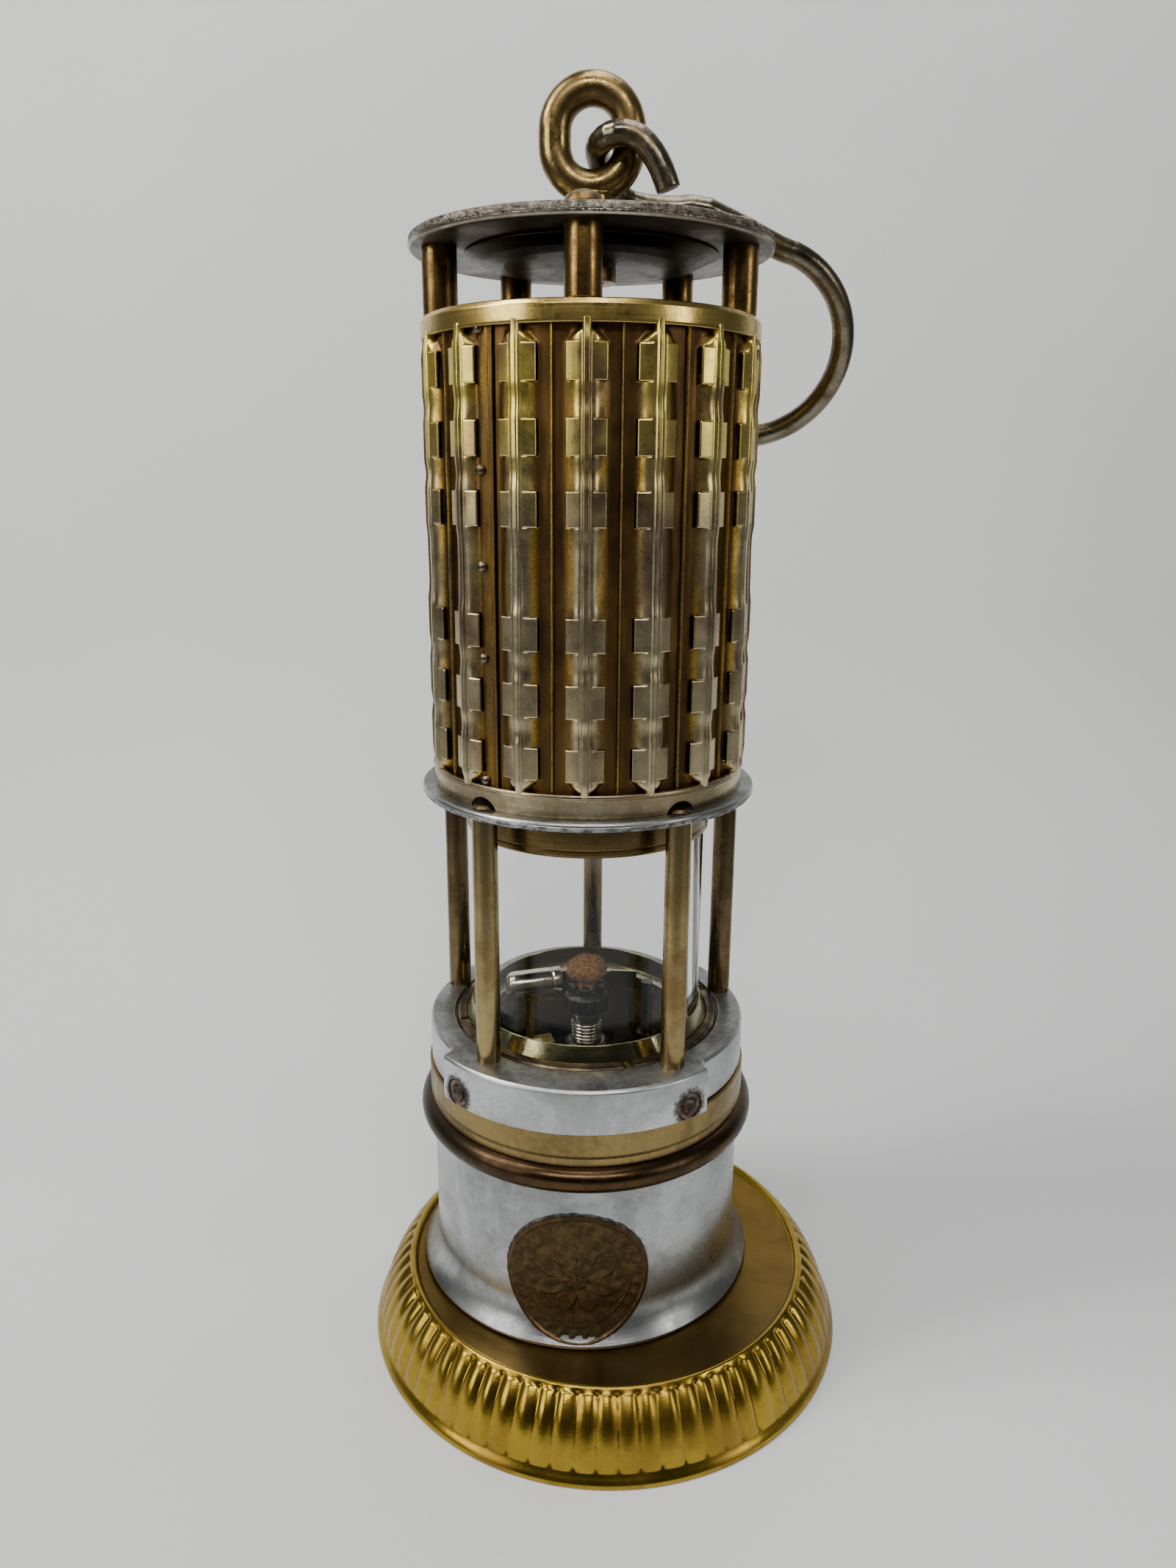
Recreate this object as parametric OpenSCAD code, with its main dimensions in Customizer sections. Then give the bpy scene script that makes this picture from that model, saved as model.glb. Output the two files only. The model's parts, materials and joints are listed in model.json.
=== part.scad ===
// Miner's flame safety lamp, standing on a loose fluted brass stand.
// The frame's origin is the middle of the stand's underside, +Z up, with the lamp's
// front (the lock pad and the medallion) towards -Y. Millimetres.

/* [Stand] */
// Outer radius of the stand's lip
stand_r = 64.7; // [60:0.1:72]
// Height of the disc that the lamp stands on
seat_z = 18; // [14:0.5:24]
// Radius of the rounded ridge around the seat
ridge_r = 54; // [52:0.5:56]
// Thickness of the stand's sheet brass
stand_t = 1.2; // [0.8:0.1:2]
// Place of the lamp's axis, off the stand's middle
lamp_x = -6; // [-7:0.1:7]
// Place of the lamp's axis, off the stand's middle
lamp_y = 4.2; // [-7:0.1:7]

/* [Fount] */
// Outer radius of the fuel fount
fount_r = 41.6; // [40:0.1:42]
// Radius of the flared foot of the fount
foot_r = 45.6; // [44:0.1:47]
// Height of the fount's shell, from seat to bead
shell_h = 43.2; // [40:0.1:46]
// Section radius of the bead between fount and collar
bead_r = 3.5; // [3:0.1:4]
// Outer radius of the brass collar
collar_r = 42.5; // [42:0.1:43]
// Height of the brass collar's skirt
collar_h = 10.1; // [9:0.1:12]
// Outer radius of the threaded neck that the frame screws onto
neck_r = 34.45; // [34.2:0.05:34.5]
// Number of lock holes around the collar
lock_holes = 24; // [12:1:28]
// Diameter of the soldered medallion
badge_d = 35.6; // [30:0.1:40]

/* [Burner] */
// Outer radius of the wick tube
tube_r = 3.4; // [3.2:0.1:3.6]
// Outer radius of the knurled burner cap
cap_r = 5.85; // [5.5:0.05:6.2]

/* [Frame] */
// Outer radius of the lower ring
ring_r = 41.9; // [41.5:0.1:42.5]
// Height of the lower ring
ring_h = 11.7; // [10:0.1:13]
// Radius of the lock pad's face
pad_r = 45.3; // [44:0.1:47]
// Half the angle that the lock pad covers
pad_half = 46.2; // [42:0.1:50]
// Angle that the lock pad is turned, off the front
pad_turn = -2.6; // [-5:0.1:5]
// Radius of the circle that the lower pillars stand on
pillar_pcr = 38.3; // [38:0.1:38.6]
// Diameter of a lower pillar
pillar_d = 4.8; // [4:0.1:5]
// Clear height from the lower ring to the gallery plate
pillar_gap = 62; // [58:1:66]
// Outer radius of the gallery plate
gallery_r = 42; // [41:0.1:43]
// Outer radius of the glass
glass_r = 30; // [29:0.1:30.1]
// Thickness of the glass
glass_t = 3; // [2:0.5:5]
// Height from the gallery plate's top to the bonnet's top
bonnet_h = 108.2; // [100:0.1:116]
// Radius of the bonnet's valleys
bonnet_r = 37.7; // [37.2:0.1:37.8]
// Radius of the bonnet's crests
crest_r = 39.5; // [39.1:0.1:40]
// Number of upright corrugations
columns = 16; // [12:1:18]
// Radius of the circle that the upper pillars stand on
upper_pcr = 34.8; // [33:0.1:35]
// Diameter of an upper pillar
upper_d = 7.8; // [6:0.1:8]
// Height of the upper pillars
upper_h = 14.1; // [12:0.1:18]
// Outer radius of the crown plate
crown_r = 41.4; // [40:0.1:42]

/* [Eye and hook] */
// Section radius of the eye's wire
eye_wire = 3.65; // [3.4:0.05:3.7]
// Radius of the eye's bends
eye_r = 8.35; // [8.3:0.05:8.6]
// Section radius of the hook's wire
hook_wire = 2.75; // [2.4:0.05:2.75]
// Radius of the hook's bow
bow_r = 23.6; // [22:0.1:24.5]

/* [Hidden] */
$fn = 64;

flat_gap = 0.1;         // rest gap between flat faces of two bodies
run = 0.08;             // radial clearance of a running fit
free = 0.3;             // gap between parts that only pass each other
posts = 5;
post_step = 360 / posts;

// heights, from the floor up
shell_z = seat_z + flat_gap;
shell_top = shell_z + shell_h;
bead_z = shell_top + bead_r;
collar_z = bead_z + bead_r;
collar_top = collar_z + collar_h;
flare_h = 10;
base_z = seat_z + flare_h;
base_t = 1.6;
shell_t = 1.4;
knob_z = seat_z + 2.4;
knob_h = 5;
flange_t = 3;
bore_r = neck_r - 1.85;
neck_top = collar_top + 7.6;
deck_t = 1.4;
deck_z = collar_top - 2.2;
deck_top = deck_z + deck_t;
ring_z = collar_top + free;
ring_top = ring_z + ring_h;
ring_bore = neck_r + 0.35;
washer_t = 1;
seat_ring_z = neck_top + washer_t + 2 * flat_gap;
gallery_z = ring_top + pillar_gap;
gallery_t = 2.4;
gallery_top = gallery_z + gallery_t;
glass_z = seat_ring_z + 2.2;
glass_top = gallery_z - 3.4;
bonnet_z = gallery_top + 2.4;
bonnet_top = gallery_top + bonnet_h;
band_h = 5.5;
top_band_h = 4.7;
lid_t = 2;
bonnet_t = 0.8;
crown_z = bonnet_top + upper_h;
crown_t = 2.8;
crown_top = crown_z + crown_t;
boss_h = 3.2;
boss_r = 13;
shield_t = 1;
shield_z = crown_z - 2.5;
shank_r = 3;
neck_z = crown_top + boss_h + free;
eye_low = neck_z + 16.2;
eye_rise = 3;

// the burner, in the lamp's own axes
screw_at = [12, 0];
screw_r = 2;
light_at = [-3.2, 8.8];
light_r = 1.5;
filler_at = [-16, -14];
filler_r = 5.5;
cap_z = deck_top + 12.4;
cap_h = 7.5;
stem_r = 2.4;
carrier_z = base_z + 18;
wheel_z = cap_z + 3.6;
wheel_r = 3;
barrel_r = 3.5;
barrel_from = [-22, 1.8];
barrel_len = 15;
barrel_turn = 18;

// the lock, in the lower ring behind the pad
lock_r = 2.45;
lock_pcr = 38.5;
lock_z = ring_z + 0.2;
lock_h = 5.4;
lock_depth = 2.4;
spring_top = ring_z + 9.8;

module at_lamp() { translate([lamp_x, lamp_y, 0]) children(); }
module ring(ri, ro, z, h) {
    translate([0, 0, z]) difference() {
        cylinder(r = ro, h = h);
        translate([0, 0, -1]) cylinder(r = ri, h = h + 2);
    }
}
module around(n, r, start = 0) {
    for (i = [0 : n - 1]) rotate([0, 0, start + i * 360 / n]) translate([0, -r, 0]) children();
}
module tube_at(p, ri, ro, z, h) { translate([p[0], p[1], 0]) ring(ri, ro, z, h); }
module rod_at(p, r, z, h) { translate([p[0], p[1], z]) cylinder(r = r, h = h); }

// ---- stand -------------------------------------------------------------------

fold = [stand_r - 1.6, 3.2];
shoulder = [fold[0] - 2.3, seat_z - 4.7];
slope_top = [ridge_r + 1, seat_z + 0.4];
function slope(u) = (1 - u) * (1 - u) * fold + 2 * u * (1 - u) * shoulder + u * u * slope_top;
module foot_stand() {
    steps = 8;
    outside = [for (i = [0 : steps]) slope(i / steps)];
    inside = [for (i = [steps : -1 : 0]) slope(i / steps) - [stand_t, stand_t / 2]];
    color([0.78, 0.58, 0.16]) rotate_extrude() polygon(concat(
        [[0, seat_z], [0, seat_z - stand_t], [ridge_r - 1.2, seat_z - stand_t]],
        inside,
        [[stand_r - stand_t, 1], [stand_r - stand_t, 0], [stand_r, 0], [stand_r, 1.2]],
        outside,
        [
            [ridge_r + 0.9, seat_z + 1.2], [ridge_r, seat_z + 1.6],
            [ridge_r - 0.7, seat_z + 1.2], [ridge_r - 0.9, seat_z]
        ]
    ));
}

// ---- fount -------------------------------------------------------------------

// the shell's wall from the foot up, moved out by out
function flare(out) = [
    for (i = [0 : 8]) let (u = 1 - i / 8)
        [fount_r + (foot_r - fount_r) * u * u + out, shell_z + flare_h * i / 8]
];
function turned_back(pts) = [for (i = [len(pts) - 1 : -1 : 0]) pts[i]];
// a skin on the shell's wall, from out of the wall by from, to to
module wall_skin(from, to, top) {
    rotate_extrude() polygon(concat(
        flare(to), [[fount_r + to, top], [fount_r + from, top]], turned_back(flare(from))
    ));
}
module fount_shell() {
    color([0.80, 0.81, 0.82]) wall_skin(-shell_t, 0, shell_top);
}
module fount_base() {
    color([0.72, 0.73, 0.74]) difference() {
        translate([0, 0, base_z + flat_gap]) cylinder(r = fount_r - shell_t, h = base_t);
        rod_at(screw_at, screw_r + run, base_z - 1, base_t + 3);
        rod_at(light_at, light_r + run, base_z - 1, base_t + 3);
        rod_at(filler_at, filler_r + free, base_z - 1, base_t + 3);
    }
}
module fount_bead() {
    color([0.34, 0.22, 0.10]) rotate_extrude() intersection() {
        translate([fount_r, bead_z]) circle(r = bead_r);
        translate([fount_r - 3, bead_z - 5]) square([8, 10]);
    }
}
module fount_collar() {
    skirt_t = 2;
    color([0.72, 0.60, 0.36]) difference() {
        rotate_extrude() polygon([
            [collar_r - skirt_t, collar_z], [collar_r, collar_z], [collar_r, collar_top],
            [neck_r, collar_top], [neck_r, neck_top], [bore_r, neck_top],
            [bore_r, collar_top - flange_t], [collar_r - skirt_t, collar_top - flange_t]
        ]);
        around(lock_holes, lock_pcr)
            translate([0, 0, collar_top - lock_depth]) cylinder(r = lock_r + 0.35, h = 5);
    }
}
module fount_deck() {
    color([0.20, 0.19, 0.18]) difference() {
        translate([0, 0, deck_z]) cylinder(r = bore_r, h = deck_t);
        rod_at([0, 0], tube_r, deck_z - 1, deck_t + 2);
        rod_at(light_at, light_r + run + 0.8, deck_z - 1, deck_t + 2);
    }
}
module medallion() {
    badge_z = shell_z + badge_d / 2 + 0.6;
    badge_t = 0.9;
    color([0.42, 0.30, 0.12]) intersection() {
        wall_skin(0, badge_t, shell_top);
        translate([0, -fount_r + 15, badge_z]) rotate([90, 0, 0]) cylinder(d = badge_d, h = 25);
    }
}
module filler_plug() {
    head_h = 4.2;
    color([0.66, 0.52, 0.24]) difference() {
        union() {
            rod_at(filler_at, 8, base_z - 5, head_h);
            rod_at(filler_at, filler_r, base_z - 1.2, 4);
        }
        translate([filler_at[0] - 10, filler_at[1] - 0.8, base_z - 6]) cube([20, 1.6, 2.4]);
    }
}
module filler_washer() {
    color([0.25, 0.14, 0.08]) tube_at(filler_at, filler_r + free, 7.8, base_z - 0.7, 0.7);
}

// ---- burner, wick and relighter -------------------------------------------------

module wick_tube() {
    color([0.66, 0.52, 0.24]) ring(stem_r + 0.3, tube_r, carrier_z + 14, cap_z - carrier_z - 13);
}
module burner_base() {
    color([0.46, 0.44, 0.40]) ring(tube_r, 6.25, deck_top, 4);
}
module burner_sleeve() {
    coil_z = deck_top + 6.4;
    color([0.66, 0.65, 0.62]) rotate_extrude() union() {
        translate([tube_r, deck_top + 4]) square([0.25, cap_z - deck_top - 4]);
        translate([tube_r, cap_z - 3]) square([0.75, 3]);
        for (i = [0 : 2]) intersection() {
            translate([tube_r, coil_z + i * 1.1]) circle(r = 0.5);
            translate([tube_r, coil_z - 2]) square([1, 8]);
        }
    }
}
module burner_cap() {
    color([0.12, 0.11, 0.10]) difference() {
        rotate_extrude() polygon([
            [tube_r, cap_z], [cap_r, cap_z], [cap_r, cap_z + 4.6], [cap_r - 1.1, cap_z + 5.2],
            [cap_r - 1.1, cap_z + cap_h], [stem_r + 0.5, cap_z + cap_h],
            [stem_r + 0.5, cap_z + 1.2], [tube_r, cap_z + 1.2]
        ]);
        for (i = [0 : 2]) rotate([0, 0, 30 + i * 60])
            translate([-8, -0.9, cap_z + cap_h - 1.8]) cube([16, 1.8, 4]);
    }
}
module wick() {
    bloom_z = cap_z + cap_h + 0.5;
    color([0.62, 0.36, 0.16]) rotate_extrude() polygon([
        [0, base_z + 6], [stem_r, base_z + 6], [stem_r, bloom_z], [4.2, bloom_z + 0.8],
        [5.3, bloom_z + 2.6], [5, bloom_z + 5], [3.2, bloom_z + 7], [0, bloom_z + 7.7]
    ]);
}
module wick_carrier() {
    color([0.66, 0.52, 0.24]) difference() {
        hull() {
            translate([0, 0, carrier_z]) cylinder(r = 4.2, h = 4);
            rod_at(screw_at, 4.2, carrier_z, 4);
        }
        rod_at([0, 0], stem_r, carrier_z - 1, 6);
        rod_at(screw_at, screw_r + run, carrier_z - 1, 6);
    }
}
module wick_screw() {
    color([0.55, 0.54, 0.52]) union() {
        rod_at(screw_at, screw_r, knob_z + knob_h, 44);
        rod_at(screw_at, 3.4, base_z + base_t + 0.4, 1.6);
    }
}
module grip(p, r) {
    difference() {
        rod_at(p, r, knob_z, knob_h);
        for (i = [0 : 11]) translate([p[0], p[1], knob_z - 1]) rotate([0, 0, i * 30])
            translate([r + 0.5, 0, 0]) cylinder(r = 1, h = knob_h + 2);
    }
}
module wick_knob() { color([0.66, 0.52, 0.24]) grip(screw_at, 6); }
module relighter_knob() { color([0.55, 0.54, 0.52]) grip(light_at, 5.5); }
module relighter_tube() {
    color([0.66, 0.52, 0.24])
        tube_at(light_at, light_r + run, light_r + run + 0.8,
            base_z + flat_gap + base_t, deck_top - base_z - flat_gap - base_t);
}
module relighter_shaft() {
    color([0.35, 0.34, 0.33])
        rod_at(light_at, light_r, knob_z + knob_h, wheel_z - knob_z - knob_h);
}
module flint_wheel() {
    color([0.30, 0.29, 0.28]) difference() {
        rod_at(light_at, wheel_r, wheel_z, 3);
        for (i = [0 : 15]) translate([light_at[0], light_at[1], wheel_z - 1])
            rotate([0, 0, i * 22.5]) translate([wheel_r + 0.1, 0, 0]) cylinder(r = 0.4, h = 5);
    }
}
module along_barrel() {
    translate([barrel_from[0], barrel_from[1], wheel_z + 1.5])
        rotate([0, 0, barrel_turn]) rotate([0, 90, 0]) children();
}
module flint_barrel() {
    color([0.74, 0.62, 0.36]) along_barrel() difference() {
        rotate_extrude() polygon([
            [0, 0], [2.2, 0], [3.1, 0.7], [barrel_r, 2], [barrel_r, barrel_len], [0, barrel_len]
        ]);
        translate([0, 0, barrel_len - 8]) cylinder(r = 1.3, h = 9);
    }
}
module flint() {
    color([0.20, 0.20, 0.21]) along_barrel() translate([0, 0, barrel_len - 8]) cylinder(r = 1.3, h = 8.4);
}
module barrel_bracket() {
    color([0.60, 0.48, 0.24]) translate([barrel_from[0], barrel_from[1], 0])
        rotate([0, 0, barrel_turn]) union() {
            translate([3, -2.6, wheel_z + 1.5 - barrel_r - 0.8]) cube([10, 5.2, 0.8]);
            translate([6, -2.6, deck_top]) cube([1.2, 5.2, wheel_z + 0.7 - barrel_r - deck_top]);
            translate([6, -2.6, deck_top]) cube([7, 5.2, 0.8]);
        }
}
module burner_bracket() {
    color([0.74, 0.64, 0.40]) union() {
        translate([7.6, 6, deck_top]) cube([4.4, 0.9, 20.6]);
        translate([6.2, 6, deck_top + 15.6]) cube([7.2, 0.9, 5]);
        translate([7.6, 6, deck_top]) cube([4.4, 6, 0.9]);
    }
}
module deck_post() {
    color([0.22, 0.20, 0.19]) union() {
        rod_at([16.5, 8], 1.6, deck_top, 17);
        rod_at([16.5, 8], 2.9, deck_top, 2.5);
    }
}
module deck_nut() {
    color([0.70, 0.69, 0.66]) union() {
        translate([-13, -7, deck_top]) cylinder(r = 3.2, h = 2.6, $fn = 6);
        rod_at([-13, -7], 1.7, deck_top, 6);
    }
}

// ---- seal between fount and frame -------------------------------------------------

module seal_washer() {
    color([0.16, 0.12, 0.10]) ring(bore_r - 1, ring_bore - free, neck_top + flat_gap, washer_t);
}

// ---- frame: ring, pillars and glass ------------------------------------------------

module pad_sector() {
    reach = pad_r + 10;
    translate([0, 0, ring_z - 1]) linear_extrude(height = ring_h + 2) polygon(concat([[0, 0]], [
        for (i = [0 : 8]) let (a = pad_turn - pad_half + 2 * pad_half * i / 8)
            [reach * sin(a), -reach * cos(a)]
    ]));
}
module pad() {
    edge = 0.7;
    intersection() {
        rotate_extrude() polygon([
            [0, ring_z], [pad_r, ring_z], [pad_r, ring_top - edge], [pad_r - edge, ring_top],
            [0, ring_top]
        ]);
        pad_sector();
    }
}
module lower_ring() {
    recess_r = pillar_pcr - pillar_d / 2 - 0.4;
    color([0.66, 0.67, 0.67]) difference() {
        union() {
            translate([0, 0, ring_z]) cylinder(r = ring_r, h = ring_h);
            pad();
        }
        translate([0, 0, ring_z - 1]) cylinder(r = ring_bore, h = ring_h + 2);
        translate([0, 0, ring_top - 1.8]) cylinder(r = recess_r, h = 3);
        around(posts, pillar_pcr, post_step / 2)
            translate([0, 0, ring_top - 6.4]) cylinder(d = pillar_d, h = 8);
        translate([0, -lock_pcr, ring_z - 1]) cylinder(r = lock_r + run, h = spring_top - ring_z + 1);
        on_pad() cylinder(r = sink_r, h = 6);
    }
}
// the countersinks in the pad and the screws in them
sink_r = 3.6;
sink_depth = 2.2;
sink_half = 39;
sink_z = ring_z + 3.5;
module on_pad() {
    for (side = [-1, 1]) rotate([0, 0, pad_turn + side * sink_half])
        translate([0, -pad_r + sink_depth, sink_z]) rotate([90, 0, 0]) children();
}
module pad_screws() {
    head_r = sink_r - free;
    color([0.20, 0.16, 0.13]) on_pad() rotate_extrude() polygon([
        [0, 0], [head_r, 0], [head_r, 0.6], [2.2, 1.4], [1.9, 2.2], [0, 2.4]
    ]);
}
module lock_bolt() {
    color([0.40, 0.39, 0.38]) rod_at([0, -lock_pcr], lock_r, lock_z, lock_h);
}
module lock_spring() {
    turns = 4;
    rings = turns * 12;
    low = lock_z + lock_h;
    rise = spring_top - low - 0.8;
    wire = 0.35;
    pts = [for (i = [0 : rings]) for (j = [0 : 5]) let (a = i * 30, b = j * 60)
        [
            (1.6 + wire * cos(b)) * cos(a),
            (1.6 + wire * cos(b)) * sin(a) - lock_pcr,
            low + 0.4 + rise * i / rings + wire * sin(b)
        ]];
    color([0.50, 0.50, 0.50]) tube_mesh(pts, rings + 1, 6);
}
module tube_mesh(pts, n, m) {
    caps = [[for (j = [0 : m - 1]) j], [for (j = [m - 1 : -1 : 0]) (n - 1) * m + j]];
    sides = [
        for (i = [0 : n - 2]) for (j = [0 : m - 1]) let (k = (j + 1) % m)
            [i * m + j, (i + 1) * m + j, (i + 1) * m + k, i * m + k]
    ];
    polyhedron(points = pts, faces = concat(caps, sides));
}
module lower_pillar(i) {
    tenon_r = 1.9;
    color([0.60, 0.50, 0.28]) rotate([0, 0, post_step / 2 + i * post_step])
        translate([0, -pillar_pcr, 0]) rotate_extrude() polygon([
            [0, ring_top - 6.4], [pillar_d / 2, ring_top - 6.4], [pillar_d / 2, gallery_z],
            [tenon_r, gallery_z], [tenon_r, gallery_top], [3, gallery_top],
            [2.6, gallery_top + 1], [1.4, gallery_top + 1.7], [0, gallery_top + 1.8]
        ]);
}
module glass() {
    color([0.85, 0.90, 0.90, 0.35]) ring(glass_r - glass_t, glass_r, glass_z, glass_top - glass_z);
}
module glass_seat_lower() {
    color([0.75, 0.72, 0.62]) ring(glass_r - glass_t, glass_r + 0.2, glass_z - 0.8, 0.8);
}
module glass_seat_upper() {
    color([0.75, 0.72, 0.62]) ring(glass_r - glass_t, glass_r + 0.1, glass_top, 0.8);
}
module glass_ring_lower() {
    color([0.72, 0.66, 0.42]) rotate_extrude() polygon([
        [glass_r - 2.6, seat_ring_z], [glass_r + 2.4, seat_ring_z], [glass_r + 2.4, seat_ring_z + 7.2],
        [glass_r + 0.2, seat_ring_z + 7.2], [glass_r + 0.2, seat_ring_z + 1.4],
        [glass_r - 2.6, seat_ring_z + 1.4]
    ]);
}
module glass_ring_upper() {
    color([0.55, 0.42, 0.20]) rotate_extrude() polygon([
        [glass_r + 0.1, gallery_z - 9.6], [glass_r + 1, gallery_z - 9.6], [glass_r + 1, gallery_z],
        [glass_r - 3, gallery_z], [glass_r - 3, glass_top + 0.8], [glass_r + 0.1, glass_top + 0.8]
    ]);
}
module glass_clamp_ring() {
    color([0.62, 0.60, 0.55]) difference() {
        ring(glass_r + 2.4, ring_bore, seat_ring_z + 0.2, 3.2);
        for (a = [0, 90]) rotate([0, 0, a + 20])
            translate([-40, -1.5, seat_ring_z + 2.2]) cube([80, 3, 3]);
    }
}

// ---- frame: gallery, gauzes and bonnet ----------------------------------------------

module gallery_plate() {
    color([0.70, 0.70, 0.69]) difference() {
        ring(glass_r - 3, gallery_r, gallery_z, gallery_t);
        around(posts, pillar_pcr, post_step / 2)
            translate([0, 0, gallery_z - 1]) cylinder(r = 1.9, h = gallery_t + 2);
    }
}
module gauze_ring() {
    color([0.58, 0.46, 0.22]) rotate_extrude() polygon([
        [24, gallery_top], [31, gallery_top], [31, gallery_top + 1.2], [28.4, gallery_top + 1.2],
        [28.4, gallery_top + 6], [27.5, gallery_top + 6], [27.5, gallery_top + 1.2],
        [24, gallery_top + 1.2]
    ]);
}
module gauze(r0, r1, z1) {
    t = 0.5;
    z0 = gallery_top + 1.2;
    rotate_extrude() polygon([
        [r0 - t, z0], [r0, z0], [r1, z1], [0, z1], [0, z1 - t], [r1 - t, z1 - t]
    ]);
}
module inner_gauze() { color([0.30, 0.28, 0.26]) gauze(24.5, 21.5, bonnet_top - 16); }
module outer_gauze() { color([0.34, 0.32, 0.29]) gauze(27.5, 24.5, bonnet_top - 10); }

crest_first = 1.6;
column_step = 360 / columns;
function wave(r_low, r_high) = [
    for (k = [0 : columns - 1]) for (p = [
        [-0.5, 0], [-0.44, 0], [-0.30, 0.85], [0, 1], [0.30, 0.85], [0.44, 0]
    ]) let (a = crest_first + (k + p[0]) * column_step, r = r_low + (r_high - r_low) * p[1])
        [r * sin(a), -r * cos(a)]
];
louvre_h = 7.4;
louvre_drops = [15.6, 30.3, 44.8, 71.1, 85.6, 99.9];
louvre_rows = [for (d = louvre_drops) bonnet_top - d];
module louvre() {
    tab_w = 9;
    translate([-tab_w / 2, -crest_r - 0.3, 0]) cube([tab_w, 1.6, louvre_h]);
}
module bonnet_wall(r_low, r_high, z, h) {
    translate([0, 0, z]) linear_extrude(height = h) difference() {
        polygon(wave(r_low, r_high));
        polygon(wave(r_low - bonnet_t, r_high - bonnet_t));
    }
}
module bonnet() {
    wave_z = gallery_top + 6;
    wave_h = bonnet_top - top_band_h - wave_z;
    color([0.58, 0.50, 0.30]) difference() {
        union() {
            bonnet_wall(bonnet_r, bonnet_r, bonnet_z, wave_z - bonnet_z + bonnet_t);
            bonnet_wall(bonnet_r, crest_r, wave_z, wave_h);
            bonnet_wall(bonnet_r, bonnet_r, wave_z + wave_h - bonnet_t, top_band_h - lid_t + bonnet_t);
            for (z = louvre_rows) for (k = [0 : columns - 1])
                rotate([0, 0, crest_first + k * column_step]) translate([0, 0, z]) louvre();
        }
        along_seam() rivet_seat();
    }
}
// the seam's rivets, seated in the flank of a corrugation
seam = -35.6;
rivet_drops = [33.1, 53.4, 73.5];
rivet_r = 1.4;
rivet_shank_r = 0.8;
rivet_seat_r = bonnet_r + 0.5;
module along_seam() {
    for (d = rivet_drops) rotate([0, 0, seam])
        translate([0, -rivet_seat_r, bonnet_top - d]) rotate([90, 0, 0]) children();
}
module rivet_seat() {
    cylinder(r = rivet_r, h = 3);
    translate([0, 0, -3]) cylinder(r = rivet_shank_r, h = 4);
}
module bonnet_rivets() {
    color([0.50, 0.40, 0.20]) along_seam() rotate_extrude() polygon([
        [0, -1.6], [rivet_shank_r, -1.6], [rivet_shank_r, 0], [rivet_r, 0],
        [rivet_r, 0.8], [rivet_r - 0.4, 1.4], [0, 1.7]
    ]);
}
module bonnet_base_band() {
    color([0.60, 0.56, 0.44]) difference() {
        ring(bonnet_r, 39.2, gallery_top, band_h);
        around(posts, pillar_pcr, post_step / 2)
            translate([0, 0, gallery_top - 1]) cylinder(r = 3.6, h = 3.8);
    }
}
module bonnet_top_band() {
    color([0.70, 0.56, 0.26]) ring(bonnet_r, 39.1, bonnet_top - top_band_h, top_band_h);
}
module bonnet_lid() {
    color([0.42, 0.34, 0.18]) difference() {
        translate([0, 0, bonnet_top - lid_t]) cylinder(r = bonnet_r, h = lid_t);
        translate([0, 0, bonnet_top - lid_t - 1]) cylinder(r = 17, h = lid_t + 2);
        around(10, 24, 18) translate([0, 0, bonnet_top - lid_t - 1]) cylinder(r = 4, h = lid_t + 2);
    }
}

// ---- frame: crown ------------------------------------------------------------------

module upper_pillars() {
    color([0.48, 0.36, 0.16]) around(posts, upper_pcr)
        translate([0, 0, bonnet_top]) cylinder(d = upper_d, h = upper_h);
}
module crown_plate() {
    color([0.62, 0.60, 0.56]) difference() {
        rotate_extrude() polygon([
            [shank_r + run, crown_z], [crown_r, crown_z], [crown_r, crown_top],
            [boss_r + 8, crown_top], [boss_r, crown_top + boss_h - 0.6],
            [boss_r - 4, crown_top + boss_h], [shank_r + run, crown_top + boss_h]
        ]);
        around(posts, upper_pcr) translate([0, 0, crown_z - 1]) cylinder(r = 2, h = crown_t + 2);
    }
}
module crown_rivets() {
    color([0.46, 0.34, 0.18]) around(posts, upper_pcr) rotate_extrude() polygon([
        [0, crown_z], [2, crown_z], [2, crown_top], [4.25, crown_top], [4, crown_top + 1.2],
        [3, crown_top + 2.2], [1.6, crown_top + 2.8], [0, crown_top + 3]
    ]);
}
module heat_shield() {
    shield_r = 29;
    color([0.16, 0.13, 0.11]) rotate_extrude() polygon([
        [shank_r + run, shield_z], [shield_r - 4, shield_z], [shield_r, crown_z - 0.8],
        [shield_r, crown_z], [shield_r - 1.2, crown_z], [shield_r - 4.6, shield_z + shield_t],
        [shank_r + run, shield_z + shield_t]
    ]);
}

// ---- swivel eye and hook -------------------------------------------------------------

module eye_bend(up) {
    translate([0, 0, eye_low + (up ? eye_rise : 0)]) rotate([90, 0, 0]) rotate([0, 0, up ? 0 : 180])
        rotate_extrude(angle = 180) translate([eye_r, 0]) circle(r = eye_wire);
}
module eye() {
    color([0.56, 0.46, 0.22]) union() {
        eye_bend(true);
        eye_bend(false);
        for (x = [-eye_r, eye_r]) translate([x, 0, eye_low]) cylinder(r = eye_wire, h = eye_rise);
        translate([0, 0, neck_z]) cylinder(r = 5, h = 6);
        translate([0, 0, shield_z - 3.6]) cylinder(r = shank_r, h = neck_z - shield_z + 4);
    }
}
module eye_nut() {
    color([0.40, 0.34, 0.22]) ring(shank_r, 5.6, shield_z - 3.3, 3);
}

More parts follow.
